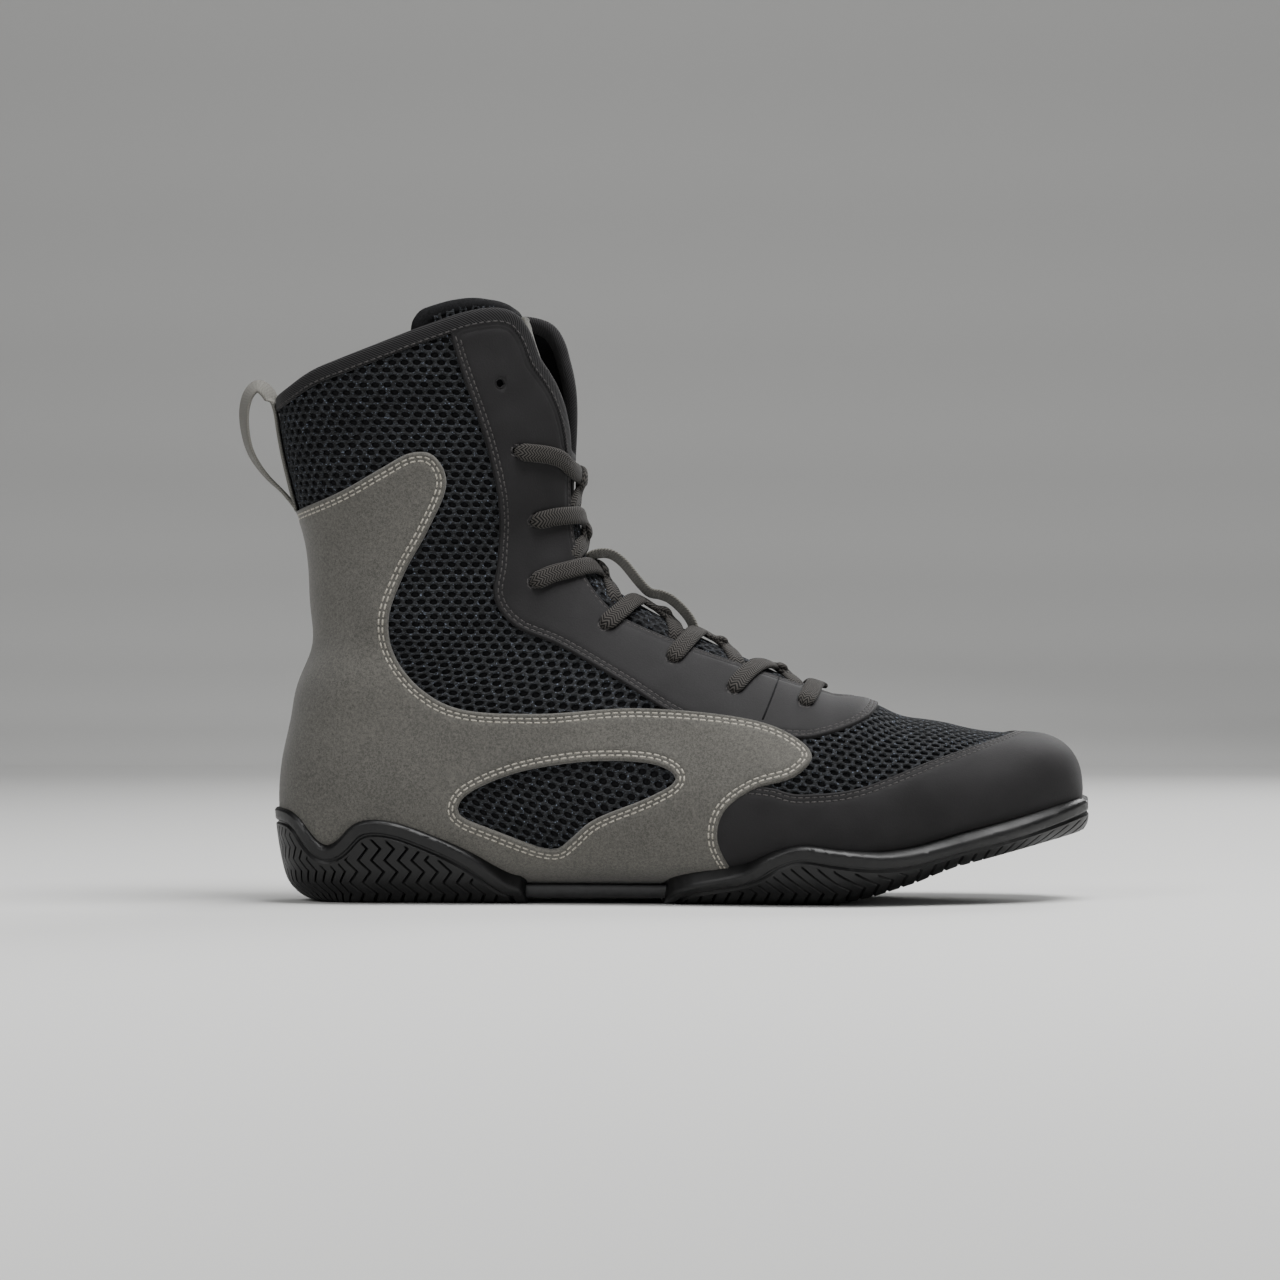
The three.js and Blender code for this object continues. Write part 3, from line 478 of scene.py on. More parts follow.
def foam():
    f = Finish("insole foam")
    cells = f.noise(1300, 3, 0.6)
    colour = f.blend(cells.above(0.5, 0.2), shade(20, 20, 22), shade(40, 40, 43))
    return f.surface(Base_Color=colour, Roughness=0.92, Normal=f.bump(cells, 0.0002, 0.6))


def plate_plastic():
    f = Finish("arch plate plastic")
    mould = f.noise(500, 2, 0.5)
    colour = f.blend(mould.above(0.5, 0.25), shade(30, 30, 31), shade(40, 40, 41))
    return f.surface(Base_Color=colour, Roughness=0.45 + mould * 0.15, Normal=f.bump(mould, 0.00005, 0.5))


SUEDE = suede()
SYNTHETIC = synthetic()
MESH = mesh_thread()
LINING = backing()
TWILL = woven("twill binding", (13, 13, 14), (37, 36, 37), 1.1 * MM, 40 * MM, 0.06)
WEBBING = woven("grey webbing", (80, 79, 75), (118, 116, 110), 1.0 * MM, 1.4 * MM, 0.1)
BRAID = woven("lace braid", (8, 8, 8), (64, 61, 58), 1.15 * MM, 1.3 * MM, 0.06)
RUBBER = rubber()
PALE_THREAD = thread("pale thread", (126, 122, 112), (176, 171, 160))
DARK_THREAD = thread("dark thread", (20, 19, 20), (66, 63, 62))
FOAM = foam()
PLATE = plate_plastic()
print("finishes:", len(bpy.data.materials))


# %% [markdown]
# ## Cutting a pattern and laying it on the last
#
# A shoemaker cuts each panel flat and stretches it over the last. The same is
# done here: a grid stands for the flat leather, and the height of each of its
# points is its distance from the edge of the panel. A knife held level, one
# bisecting plane for each distance, then cuts the panel's outline and the lines
# along its folded rim and its seams exactly, however the outline runs.

# %% Outlines, distances and pieces
def smooth(points, steps=8, closed=False):
    """A round line through a few points."""
    points = np.asarray(points, float)
    if closed:
        points = np.vstack([points[-1], points, points[:2]])
        places = np.linspace(1, len(points) - 2, (len(points) - 3) * steps + 1)
    else:
        places = np.linspace(0, len(points) - 1, (len(points) - 1) * steps + 1)
    return rows_between(points, places)


def inside(polygon, places):
    """Which places lie inside a closed polygon."""
    x, y = places[:, 0], places[:, 1]
    odd = np.zeros(len(places), bool)
    for (ax, ay), (bx, by) in zip(polygon, np.roll(polygon, -1, axis=0)):
        if ay == by:
            continue
        odd ^= ((ay > y) != (by > y)) & (x < ax + (y - ay) * (bx - ax) / (by - ay))
    return odd


def gap_to(line, points):
    """Distance from each point to a line in space."""
    a, b = line[:-1], line[1:]
    run = b - a
    size = np.maximum((run * run).sum(1), 1e-16)
    gaps = np.empty(len(points))
    for first in range(0, len(points), 4000):
        block = points[first:first + 4000, None]
        share = np.clip(((block - a) * run).sum(-1) / size, 0, 1)
        gaps[first:first + 4000] = np.linalg.norm(block - a - share[..., None] * run, axis=-1).min(1)
    return gaps


class Outline:
    """A region of the last: a closed polygon of places, and its edge as a line in space."""

    def __init__(self, polygon, edge, surface=last):
        self.polygon, self.edge, self.surface = np.asarray(polygon), np.asarray(edge), surface
        self.line = surface.look(self.edge[:, 0], self.edge[:, 1])[0]

    def depth(self, places, points):
        """Distance inside the edge, negative outside."""
        gaps = gap_to(self.line, points)
        return np.where(inside(self.polygon, places), gaps, -gaps)


def shown_object(name, bm, finish):
    """Turns a mesh into a smooth-shaded object with its finish."""
    mesh = bpy.data.meshes.new(name)
    bm.to_mesh(mesh)
    bm.free()
    mesh.shade_smooth()
    mesh.materials.append(finish)
    thing = bpy.data.objects.new(name, mesh)
    bpy.context.scene.collection.objects.link(thing)
    return thing


def make_piece(name, bm, finish, replaced=(), level=0):
    """Finishes one piece of the boot, rounded level times, that rides on its body."""
    piece = shown_object(name, bm, finish)
    if level:
        modifier = piece.modifiers.new("round", "SUBSURF")
        modifier.levels = modifier.render_levels = level
    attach(piece, "root")
    if replaced:
        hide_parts(*replaced)
    print(f"{name}: {len(piece.data.polygons) * 4 ** level} faces")
    return piece


def get_points(bm):
    return np.array([v.co for v in bm.verts])


def numbered_grid(columns, lines):
    """A grid, with the column and the line that each of its points is on."""
    bm = bmesh.new()
    bmesh.ops.create_grid(bm, x_segments=columns, y_segments=lines, size=0.5)
    return bm, np.round((get_points(bm)[:, :2] + 0.5) * [columns, lines]).astype(int)


def flat_leather(rows, girths, columns):
    """A grid over part of the last, with the place of each of its points."""
    bm = bmesh.new()
    bmesh.ops.create_grid(bm, x_segments=len(rows) - 1, y_segments=columns, size=0.5)
    flat = get_points(bm)
    flat[:, 0] = np.interp(flat[:, 0] + 0.5, np.linspace(0, 1, len(rows)), rows)
    flat[:, 1] = girths[0] + (flat[:, 1] + 0.5) * (girths[1] - girths[0])
    return bm, flat


def drop_faces(bm, kept):
    bmesh.ops.delete(bm, geom=[f for f, k in zip(bm.faces, kept) if not k], context="FACES")


def cut_all(bm, levels, trim=False):
    """Cuts a pattern at each level of its height, and, when trim is set, drops what is below the first."""
    for i, level in enumerate(levels):
        geometry = bm.verts[:] + bm.edges[:] + bm.faces[:]
        bmesh.ops.bisect_plane(bm, geom=geometry, dist=1e-6, plane_co=(0, 0, level), plane_no=(0, 0, 1),
                               clear_inner=trim and i == 0)


def set_points(bm, points):
    for vert, point in zip(bm.verts, points):
        vert.co = point


def even_rows(surface, span, girths, cell):
    """Section places between two ends, about one cell apart on the surface."""
    ats = np.linspace(*span, 400)
    points = np.stack([surface.look(ats, np.full(400, g))[0] for g in girths])
    run = np.linalg.norm(np.diff(points, axis=1), axis=-1).mean(0)
    run = np.concatenate([[0], np.cumsum(run)])
    count = max(int(run[-1] / cell), 2)
    return np.interp(np.linspace(0, run[-1], count + 1), run, ats)


SEAM_LINES = {}


def chains(bm, level):
    """The lines of a flat pattern that lie at one knife depth, as (at, girth) places."""
    near = [e for e in bm.edges if all(abs(v.co.z - level) < 2e-6 for v in e.verts)]
    links = {}
    for edge in near:
        a, b = edge.verts
        links.setdefault(a, []).append(b)
        links.setdefault(b, []).append(a)
    lines = []
    while links:
        ends = [v for v in links if len(links[v]) == 1]
        vert = ends[0] if ends else next(iter(links))
        line = [vert]
        while links.get(vert):
            other = links[vert].pop()
            links[other].remove(vert)
            if not links[vert]:
                del links[vert]
            line.append(other)
            vert = other
        links.pop(vert, None)
        lines.append(np.array([v.co[:2] for v in line]))
    return lines


def lay_panel(name, span, girths, cell, depth_of, levels, outer, inner, keep=None, surface=last):
    """Cuts a panel at its depth levels and lays it on the surface as a closed sheet."""
    rows = even_rows(surface, span, np.linspace(*girths, 9), cell)
    middle = surface.look(np.full(60, np.mean(span)), np.linspace(*girths, 60))[0]
    columns = max(int(run_along(middle)[-1] / cell), 2)
    bm, flat = flat_leather(rows, girths, columns)
    flat[:, 2] = depth_of(flat[:, :2], surface.look(flat[:, 0], flat[:, 1])[0])
    set_points(bm, flat)
    cut_all(bm, levels, trim=True)
    if keep is not None:
        centres = np.array([f.calc_center_median() for f in bm.faces])
        drop_faces(bm, keep(centres[:, :2], surface.look(centres[:, 0], centres[:, 1])[0]))
    SEAM_LINES[name] = {round(level / MM, 2): chains(bm, level) for level in levels}
    return thicken(name, bm, outer, inner, surface)


def close_sheet(name, bm, outer, inner):
    """Makes a closed sheet from a pattern and the two places of each of its points."""
    layer = bm.verts.layers.float_vector.new("outer")
    for vert, point in zip(bm.verts, outer):
        vert[layer] = point
    set_points(bm, inner)
    bmesh.ops.remove_doubles(bm, verts=bm.verts[:], dist=1e-6)
    extruded = bmesh.ops.extrude_face_region(bm, geom=bm.faces[:])["geom"]
    for vert in (g for g in extruded if isinstance(g, bmesh.types.BMVert)):
        vert.co = vert[layer]
    bmesh.ops.recalc_face_normals(bm, faces=bm.faces[:])
    open_edges = sum(1 for e in bm.edges if len(e.link_faces) != 2)
    if open_edges:
        print(f"  {name}: {open_edges} open edges")
    return bm


def thicken(name, bm, outer, inner, surface=last):
    """Gives a flat pattern its two heights on the surface and closes it all round."""
    flat = get_points(bm)
    sheets = []
    for height in (outer, inner):
        heights = np.broadcast_to(height(flat) if callable(height) else height, len(flat))
        sheets.append(surface.laid(np.column_stack([flat[:, :2], heights])))
    return close_sheet(name, bm, *sheets)


def rolled(base, thickness, rim, seams=(), dip=0.28, pillow=0.12):
    """Height over the distance from the edge: a rolled rim, seams sewn in, soft between."""
    def height(flat):
        depth = flat[:, 2] / MM
        t = np.clip(depth / rim, 0, 1)
        rise = thickness * np.sqrt(np.maximum(1 - (1 - t) ** 2, 0))
        for seam in seams:
            rise = rise - dip * np.exp(-((depth - seam) / 0.45) ** 2)
        if seams:
            rise = rise + pillow * np.exp(-((depth - 0.5 * seams[0]) / 0.6) ** 2)
            rise = rise + 0.8 * pillow * np.exp(-((depth - seams[-1] - 1.6) / 1.4) ** 2)
        return (base + np.maximum(rise, 0.02)) * MM
    return height


RIM_CUTS = (0.0, 0.12, 0.35, 0.7)


def knife_levels(seams=()):
    """Knife depths in metres for a rim and its seams."""
    cuts = list(RIM_CUTS) + [seam + step for seam in seams for step in (-0.5, 0.0, 0.5)]
    return [c * MM for c in cuts]


# %% [markdown]
# ## Where the panels begin and end
#
# The outlines are a few chosen points in the side view, as shares of the boot's
# length and height, joined by a round line. Found on the last, each becomes a
# line on the outer side and one on the inner side. The collar and the throat
# together are one opening, and every panel keeps out of it.

# %% Outlines of the boot
COLLAR_BACK = [
    [-0.030, 0.815], [0.010, 0.838], [0.051, 0.873], [0.088, 0.893], [0.136, 0.918], [0.175, 0.939],
    [0.209, 0.956], [0.233, 0.968], [0.257, 0.976],
]
COLLAR_OUTER_FRONT = [[0.282, 0.979], [0.303, 0.968], [0.319, 0.935], [0.328, 0.895]]
COLLAR_INNER_FRONT = [[0.300, 0.983], [0.326, 0.978], [0.345, 0.964], [0.357, 0.934], [0.362, 0.905]]

# Half gap of the throat: section of the last, then outer and inner share of BALL_WIDTH
THROAT = np.array([
    [7.75, 0.010, 0.010], [7.95, 0.065, 0.065], [8.6, 0.100, 0.100], [10, 0.128, 0.128],
    [12, 0.150, 0.150], [13.3, 0.142, 0.138], [15, 0.112, 0.100], [17, 0.099, 0.084],
    [19, 0.102, 0.082], [21, 0.124, 0.086], [23, 0.176, 0.095], [25, 0.255, 0.115],
    [27, 0.330, 0.160],
])
HEEL_LIP = [
    [-0.040, 0.128], [0.012, 0.129], [0.034, 0.114], [0.054, 0.078], [0.068, 0.064], [0.082, 0.073],
    [0.105, 0.104], [0.135, 0.111], [0.176, 0.097], [0.241, 0.055], [0.290, 0.002], [0.309, -0.013],
    [0.318, -0.050],
]
FOREFOOT_LIP = [
    [0.474, -0.050], [0.484, -0.018], [0.511, 0.001], [0.571, 0.022], [0.607, 0.053], [0.643, 0.069],
    [0.690, 0.060], [0.746, 0.033], [0.800, 0.015], [0.870, 0.009], [0.932, 0.012], [0.990, 0.022],
    [1.040, 0.030],
]
OVERLAY_EDGE = [
    [-0.030, 0.620], [0.041, 0.646], [0.090, 0.672], [0.138, 0.709], [0.174, 0.735],
    [0.203, 0.729], [0.217, 0.680], [0.194, 0.602], [0.165, 0.528], [0.147, 0.451],
    [0.156, 0.387], [0.190, 0.330], [0.240, 0.298], [0.331, 0.292], [0.457, 0.301], [0.572, 0.284],
    [0.632, 0.257], [0.658, 0.221], [0.638, 0.187], [0.590, 0.165], [0.555, 0.130], [0.545, 0.087],
    [0.556, 0.045], [0.590, -0.020],
]
WINDOW = [
    [0.231, 0.132], [0.243, 0.156], [0.283, 0.183], [0.331, 0.201], [0.403, 0.212], [0.469, 0.206],
    [0.494, 0.181], [0.463, 0.152], [0.397, 0.114], [0.367, 0.080], [0.349, 0.063], [0.319, 0.071],
    [0.259, 0.103], [0.237, 0.117],
]
STAY_BACK = [
    [0.212, 1.050], [0.224, 0.925], [0.265, 0.747], [0.281, 0.630], [0.278, 0.553],
    [0.273, 0.490], [0.300, 0.440], [0.354, 0.406], [0.427, 0.346], [0.485, 0.295], [0.540, 0.262],
    [0.632, 0.250],
]
STAY_TIP = [[0.670, 0.253], [0.713, 0.262], [0.737, 0.277], [0.748, 0.300], [0.752, 0.340]]
CAP_EDGE = [
    [0.520, 0.150], [0.570, 0.170], [0.608, 0.168], [0.645, 0.157], [0.717, 0.161],
    [0.820, 0.164], [0.905, 0.165], [0.940, 0.162], [1.050, 0.200],
]
EYELETS = [
    [0.281, 0.854], [0.300, 0.740], [0.320, 0.622], [0.319, 0.515],
    [0.406, 0.440], [0.489, 0.382], [0.563, 0.329], [0.650, 0.305],
]
EYELET_RADIUS = 1.5 * MM
BINDING_FOOT = SOLE_THICKNESS + 0.735 * UPPER_HEIGHT


def trimmed(places):
    """Drops what runs on past the outline of the last, but for the first point there."""
    edge = np.abs((places[:, 1] * 2) % 1.0 - 0.5) > 0.4999999
    free = np.flatnonzero(~edge)
    return places[max(free[0] - 1, 0):free[-1] + 2]


def side_line(shares, side, surface=last, steps=8, closed=False):
    places = surface.find(smooth(side_points(shares), steps, closed), side)
    return places if closed else trimmed(places)


def girth_at(at, y, surface=last):
    """Where a section has a given y, near the top line."""
    girths = np.linspace(0.25, 0.75, 201)
    line = surface.look(np.full(201, at), girths)[0][:, 1]
    return np.interp(y, line, girths)


def opening_side(front, side):
    """The collar from the heel to the front, then the throat down to its lowest point."""
    collar = side_line(COLLAR_BACK + front, side)
    rows = smooth(THROAT[::-1], 6)
    rows = rows[rows[:, 0] < collar[-1, 0] - 0.3]
    half = rows[:, 1 if side < 0 else 2] * side * BALL_WIDTH
    throat = [[at, girth_at(at, y)] for at, y in zip(rows[:, 0], half)]
    line = np.vstack([collar, throat])
    for _ in range(3):
        line[1:-1] = (line[:-2] + 2 * line[1:-1] + line[2:]) / 4
    return line


outer_opening = opening_side(COLLAR_OUTER_FRONT, -1)
inner_opening = opening_side(COLLAR_INNER_FRONT, 1)
inner_opening[0, 1] = 1.0
opening_edge = np.vstack([outer_opening, inner_opening[::-1]])
opening = Outline(np.vstack([opening_edge, [[BEYOND_TOP, 1.0], [BEYOND_TOP, 0.0]]]), opening_edge)

overlay_outer = side_line(OVERLAY_EDGE, -1)
overlay_inner = side_line(OVERLAY_EDGE, 1) - [0, 1]
overlay_outer[[0, -1], 1] = overlay_inner[[0, -1], 1] = 0
overlay_edge = np.vstack([overlay_outer, overlay_inner[::-1]])
overlay = Outline(overlay_edge, overlay_edge)

windows = []
for side, turn in ((-1, 0), (1, 1)):
    loop = side_line(WINDOW, side, closed=True) - [0, turn]
    windows.append(Outline(loop, loop))

cap_outer = side_line(CAP_EDGE, -1)
cap_inner = side_line(CAP_EDGE, 1)
cap_edge = np.vstack([cap_outer, cap_inner[-2::-1]])
cap_round_toe = [[cap_inner[0, 0], 1], [BEYOND_TOE, 1], [BEYOND_TOE, 0], [cap_outer[0, 0], 0]]
cap = Outline(np.vstack([cap_edge, cap_round_toe]), cap_edge)

stay_outer = side_line(STAY_BACK + STAY_TIP, -1)
stay_inner = side_line(STAY_BACK + STAY_TIP, 1)
stay_edge = np.vstack([stay_outer, stay_inner[-2::-1]])
stay_over_top = [[BEYOND_TOP, stay_inner[0, 1]], [BEYOND_TOP, stay_outer[0, 1]]]
stay = Outline(np.vstack([stay_edge, stay_over_top]), stay_edge)
for label, outline in (("opening", opening), ("overlay", overlay), ("cap", cap), ("eyestay", stay)):
    print(label, "edge", round(run_along(outline.line)[-1] / MM), "mm, sections",
          outline.edge[:, 0].min().round(1), "to", outline.edge[:, 0].max().round(1))


def lip_height(x, lip):
    """How high the rubber's lip is over one x, in the side view."""
    line = smooth(side_points(lip), 8)
    return np.interp(x, line[:, 0], line[:, 1])


# %% [markdown]
# ## Lining, suede, toe cap and eyestay
#
# Under everything is the lining, a thin wall that stands where the solid upper
# stands. The grey suede wraps the heel and reaches forward on both sides, with a
# window for the mesh; the toe cap and the eyestay are black synthetic. Their
# edges are folded and sewn, so the rim is round and the seams lie in a dip.

# %% The sewn panels
LINING_OUTER = -1.0 * MM
LINING_INNER = -2.3 * MM
HIDDEN_UNDER_SOLE = 7 * MM
LASTING_MARGIN = 9 * MM
HEEL_END = 38 * MM
FOREFOOT_START = 86 * MM


def clear_of_sole(places, points):
    """What shows above the rubber, and a little that it hides."""
    x, z = points[:, 0], points[:, 2]
    heel = (x < HEEL_END) & (z < lip_height(x, HEEL_LIP) - HIDDEN_UNDER_SOLE)
    fore = (x > FOREFOOT_START) & (z < lip_height(x, FOREFOOT_LIP) - HIDDEN_UNDER_SOLE)
    middle = np.abs(points[:, 1]) < 14 * MM
    low = z < tread_at(x) + SOLE_THICKNESS + 2 * MM
    return ~(heel | fore | (middle & low & (places[:, 0] < 16)))


def lining_keeps(places, points):
    """Everything but the open underside, which keeps a margin all round."""
    x, y, z = points.T
    rows = [np.interp(places[:, 0], last.ats, last.rows[:, c]) * BALL_WIDTH for c in (4, 6)]
    under = (z < tread_at(x) + SOLE_THICKNESS + 2 * MM) & (np.abs(y - rows[1]) < rows[0] - LASTING_MARGIN)
    return ~(under & (places[:, 0] > 3.4) & (places[:, 0] < 16.3))


lining = lay_panel("lining", (FIRST_SECTION, LAST_SECTION), (0, 1), 2.6 * MM,
                   lambda places, points: -opening.depth(places, points), [0.0],
                   LINING_OUTER, LINING_INNER, keep=lining_keeps)
make_piece("lining", lining, LINING, ["upper"])

SUEDE_SEAMS = (1.8, 3.2)


def overlay_depth(places, points):
    """Distance from the edge of the suede, its windows' edges too."""
    depth = overlay.depth(places, points)
    for window in windows:
        depth = np.minimum(depth, -window.depth(places, points))
    return depth


suede_panel = lay_panel("heel_suede", (8.2, 25.6), (-0.42, 0.42), 1.9 * MM, overlay_depth,
                        knife_levels(SUEDE_SEAMS), rolled(0.1, 1.35, 0.9, SUEDE_SEAMS), -0.1 * MM,
                        keep=clear_of_sole)
make_piece("heel_suede", suede_panel, SUEDE, ["heel_overlay"])

CAP_SEAMS = (1.4, 3.0)
cap_panel = lay_panel("toe_cap_panel", (-1, 10.5), (0, 1), 1.9 * MM, cap.depth, knife_levels(CAP_SEAMS),
                      rolled(0.0, 0.95, 0.8, CAP_SEAMS, 0.2, 0.08), -0.2 * MM, keep=clear_of_sole)
make_piece("toe_cap_panel", cap_panel, SYNTHETIC, ["toe_cap"])

STAY_SEAMS = (1.5, 2.9)
eyelet_places = [last.find(side_points(EYELETS), side) for side in (-1, 1)]
eyelet_points = np.vstack([last.look(p[:, 0], p[:, 1])[0] for p in eyelet_places])


def stay_depth(places, points):
    """Distance from the edge of the eyestay, which stops at the binding and at the eyelets."""
    depth = np.minimum(stay.depth(places, points), -opening.depth(places, points))
    bound = np.clip((points[:, 2] - BINDING_FOOT) / (3 * MM), 0, 1) * 3.6 * MM
    depth = np.minimum(depth, -opening.depth(places, points) - bound)
    holes = np.linalg.norm(points[:, None] - eyelet_points[None], axis=-1).min(1) - EYELET_RADIUS
    return np.minimum(depth, 4 * holes)


def clear_of_overlay(places, points):
    signed = np.column_stack([places[:, 0], np.where(places[:, 1] > 0.5, places[:, 1] - 1, places[:, 1])])
    return overlay.depth(signed, points) < 4 * MM


stay_panel = lay_panel("eyestay_panel", (7, 27), (0.14, 0.86), 1.7 * MM, stay_depth,
                       knife_levels(STAY_SEAMS), rolled(0.0, 1.15, 0.7, STAY_SEAMS, 0.2, 0.08),
                       -0.2 * MM, keep=clear_of_overlay)
make_piece("eyestay_panel", stay_panel, SYNTHETIC, ["eyestay"])

# %% [markdown]
# ## Open mesh
#
# The mesh is a thick knit of half-offset oval holes. A grid with half the pitch
# loses every second upright in turn, which leaves bricks; each brick is drawn to
# a point above and below and opened by an inset, and the hole's edge is drawn
# down into the dark. Rounded once, the bars look like knitted cords. The rows
# lie level round the shaft and tip towards the toe lower down, as on the boot.

# %% Knitted fabric
HOLE_PITCH = 4.3 * MM
ROW_PITCH = 2.6 * MM
BAR = 0.52 * MM
PEAK = 0.32 * MM
NARROWING = 0.86
CORD_TOP = 0.30 * MM
HOLE_EDGE = -0.05 * MM
HOLE_FOOT = -0.85 * MM


def fabric(name, place_of, u_range, v_range, keep, surface=last, base=0.0, replaced=()):
    """Knits open mesh over a part of a surface and keeps the cells that are asked for."""
    half = HOLE_PITCH / 2
    columns = 2 * int(round((u_range[1] - u_range[0]) / HOLE_PITCH))
    lines = int(round((v_range[1] - v_range[0]) / ROW_PITCH))
    bm, spots = numbered_grid(columns, lines)
    place = dict(zip(bm.verts, map(tuple, spots)))
    uprights, joints = [], []
    for edge in bm.edges:
        (c0, l0), (c1, l1) = (place[v] for v in edge.verts)
        if c0 == c1 and 0 < c0 < columns and (c0 + min(l0, l1)) % 2:
            uprights.append(edge)
    peaks = np.where((spots.sum(1) % 2) == 0, PEAK, -PEAK)
    flat = np.column_stack([u_range[0] + spots[:, 0] * half, v_range[0] + spots[:, 1] * ROW_PITCH + peaks,
                            np.zeros(len(spots))])
    set_points(bm, flat)
    bmesh.ops.dissolve_edges(bm, edges=uprights, use_verts=False)
    centres = np.array([f.calc_center_median() for f in bm.faces])
    places = place_of(centres[:, 0], centres[:, 1])
    kept = keep(places, surface.look(places[:, 0], places[:, 1])[0])
    drop_faces(bm, kept & np.array([len(f.verts) == 6 for f in bm.faces]))
    holes = bm.faces[:]
    bmesh.ops.inset_individual(bm, faces=holes, thickness=BAR)
    for face in holes:
        centre = face.calc_center_median()
        for vert in face.verts:
            vert.co.x = centre.x + (vert.co.x - centre.x) * NARROWING
            vert.co.z = HOLE_EDGE
    edges = list({e for f in holes for e in f.edges})
    bmesh.ops.delete(bm, geom=holes, context="FACES_ONLY")
    walls = bmesh.ops.extrude_edge_only(bm, edges=edges)["geom"]
    for vert in (g for g in walls if isinstance(g, bmesh.types.BMVert)):
        vert.co.z = HOLE_FOOT
    for vert in bm.verts:
        if vert.co.z == 0:
            vert.co.z = CORD_TOP
    flat = get_points(bm)
    places = place_of(flat[:, 0], flat[:, 1])
    lift = base(places) if callable(base) else base
    set_points(bm, surface.laid(np.column_stack([places, flat[:, 2] + lift])))
    bmesh.ops.recalc_face_normals(bm, faces=bm.faces[:])
    return make_piece(name, bm, MESH, replaced, level=1)


# The rows lie level above this height, and tip forward below it
LEVEL_ABOVE = 96 * MM
TILT_OVER = 60 * MM
ROW_TILT = 0.30
SHAFT_REACH = 175 * MM


def round_the_shaft():
    """A table from (run from the heel back, height of the row) to (at, girth)."""
    heights = np.arange(14, 216, 3) * MM
    runs = np.arange(-190, 190.5, 1.5) * MM
    table = np.zeros((len(heights), len(runs), 2))
    for side in (-1, 1):
        x_share = np.linspace(0, 1, 70) ** 1.6
        lines = []
        for height in heights:
            tilt = ROW_TILT * np.clip((LEVEL_ABOVE - height) / TILT_OVER, 0, 1)
            x = np.interp(height, heel_line[:, 1], heel_line[:, 0]) + x_share * SHAFT_REACH
            lines.append(np.column_stack([x, height - tilt * (x - 30 * MM)]))
        places = last.find(np.vstack(lines), side).reshape(len(heights), len(x_share), 2)
        if side > 0:
            places[..., 1] -= 1
        places[:, 0, 1] = 0
        points = last.look(places[..., 0], places[..., 1])[0]
        run = np.cumsum(np.pad(np.linalg.norm(np.diff(points, axis=1), axis=-1), ((0, 0), (1, 0))), axis=1)
        mine = runs * side >= 0
        for i in range(len(heights)):
            for c in (0, 1):
                table[i, mine, c] = np.interp(np.abs(runs[mine]), run[i], places[i, :, c])
    return heights, runs, table


SHAFT_HEIGHTS, SHAFT_RUNS, SHAFT_TABLE = round_the_shaft()


def shaft_place(u, v):
    """Where a point of the flat fabric comes to lie, read from the table."""
    i = np.interp(v, SHAFT_HEIGHTS, np.arange(len(SHAFT_HEIGHTS)))
    j = np.interp(u, SHAFT_RUNS, np.arange(len(SHAFT_RUNS)))
    i0, j0 = np.minimum(i.astype(int), len(SHAFT_HEIGHTS) - 2), np.minimum(j.astype(int), len(SHAFT_RUNS) - 2)
    s, t = (i - i0)[:, None], (j - j0)[:, None]
    low = SHAFT_TABLE[i0, j0] * (1 - t) + SHAFT_TABLE[i0, j0 + 1] * t
    high = SHAFT_TABLE[i0 + 1, j0] * (1 - t) + SHAFT_TABLE[i0 + 1, j0 + 1] * t
    return low * (1 - s) + high * s


UNDER_PANEL = 3.0 * MM
SHAFT_FRONT = 121 * MM
SHAFT_FOOT = 12 * MM
VAMP_BACK = 118 * MM


def signed_girth(places):
    return np.column_stack([places[:, 0], (places[:, 1] + 0.5) % 1.0 - 0.5])


def covered(places, points):
    """How far a place lies under a sewn panel, or outside the boot's edge."""
    whole = np.column_stack([places[:, 0], np.clip(places[:, 1] % 1.0, 1e-4, 1 - 1e-4)])
    depths = [overlay_depth(signed_girth(places), points), stay.depth(whole, points),
              cap.depth(whole, points), opening.depth(whole, points) + 2 * UNDER_PANEL - 1 * MM]
    return np.max(depths, axis=0)


def shaft_keeps(places, points):
    own_part = (points[:, 0] < SHAFT_FRONT) & (points[:, 2] > SHAFT_FOOT)
    return (covered(places, points) < UNDER_PANEL) & own_part


vamp_rows = even_rows(last, (-0.5, 10.0), [0.5], 1 * MM)
vamp_ring = last.length_round(vamp_rows)


def vamp_place(u, v):
    """Fabric laid down the middle of the toe, a little gathered at the sides."""
    at = np.interp(u / MM, np.arange(len(vamp_rows)), vamp_rows)
    ring = np.interp(u / MM, np.arange(len(vamp_rows)), vamp_ring)
    return np.column_stack([at, 0.5 + v / (0.5 * ring + 0.5 * vamp_ring.max())])


def vamp_keeps(places, points):
    return (covered(places, points) < UNDER_PANEL) & (points[:, 0] > VAMP_BACK)


fabric("shaft_mesh", shaft_place, (-180.6 * MM, 180.6 * MM), (16 * MM, 212 * MM), shaft_keeps)
fabric("vamp_mesh", vamp_place, (0, (len(vamp_rows) - 1) * MM), (-80.6 * MM, 80.6 * MM), vamp_keeps)

# %% [markdown]
# ## Seams
#
# Each seam follows a line that the knife left in its pattern. One stitch is a
# small round-ended bar; its points are repeated along the line, each copy turned
# with it, and all stitches of one thread become one piece.

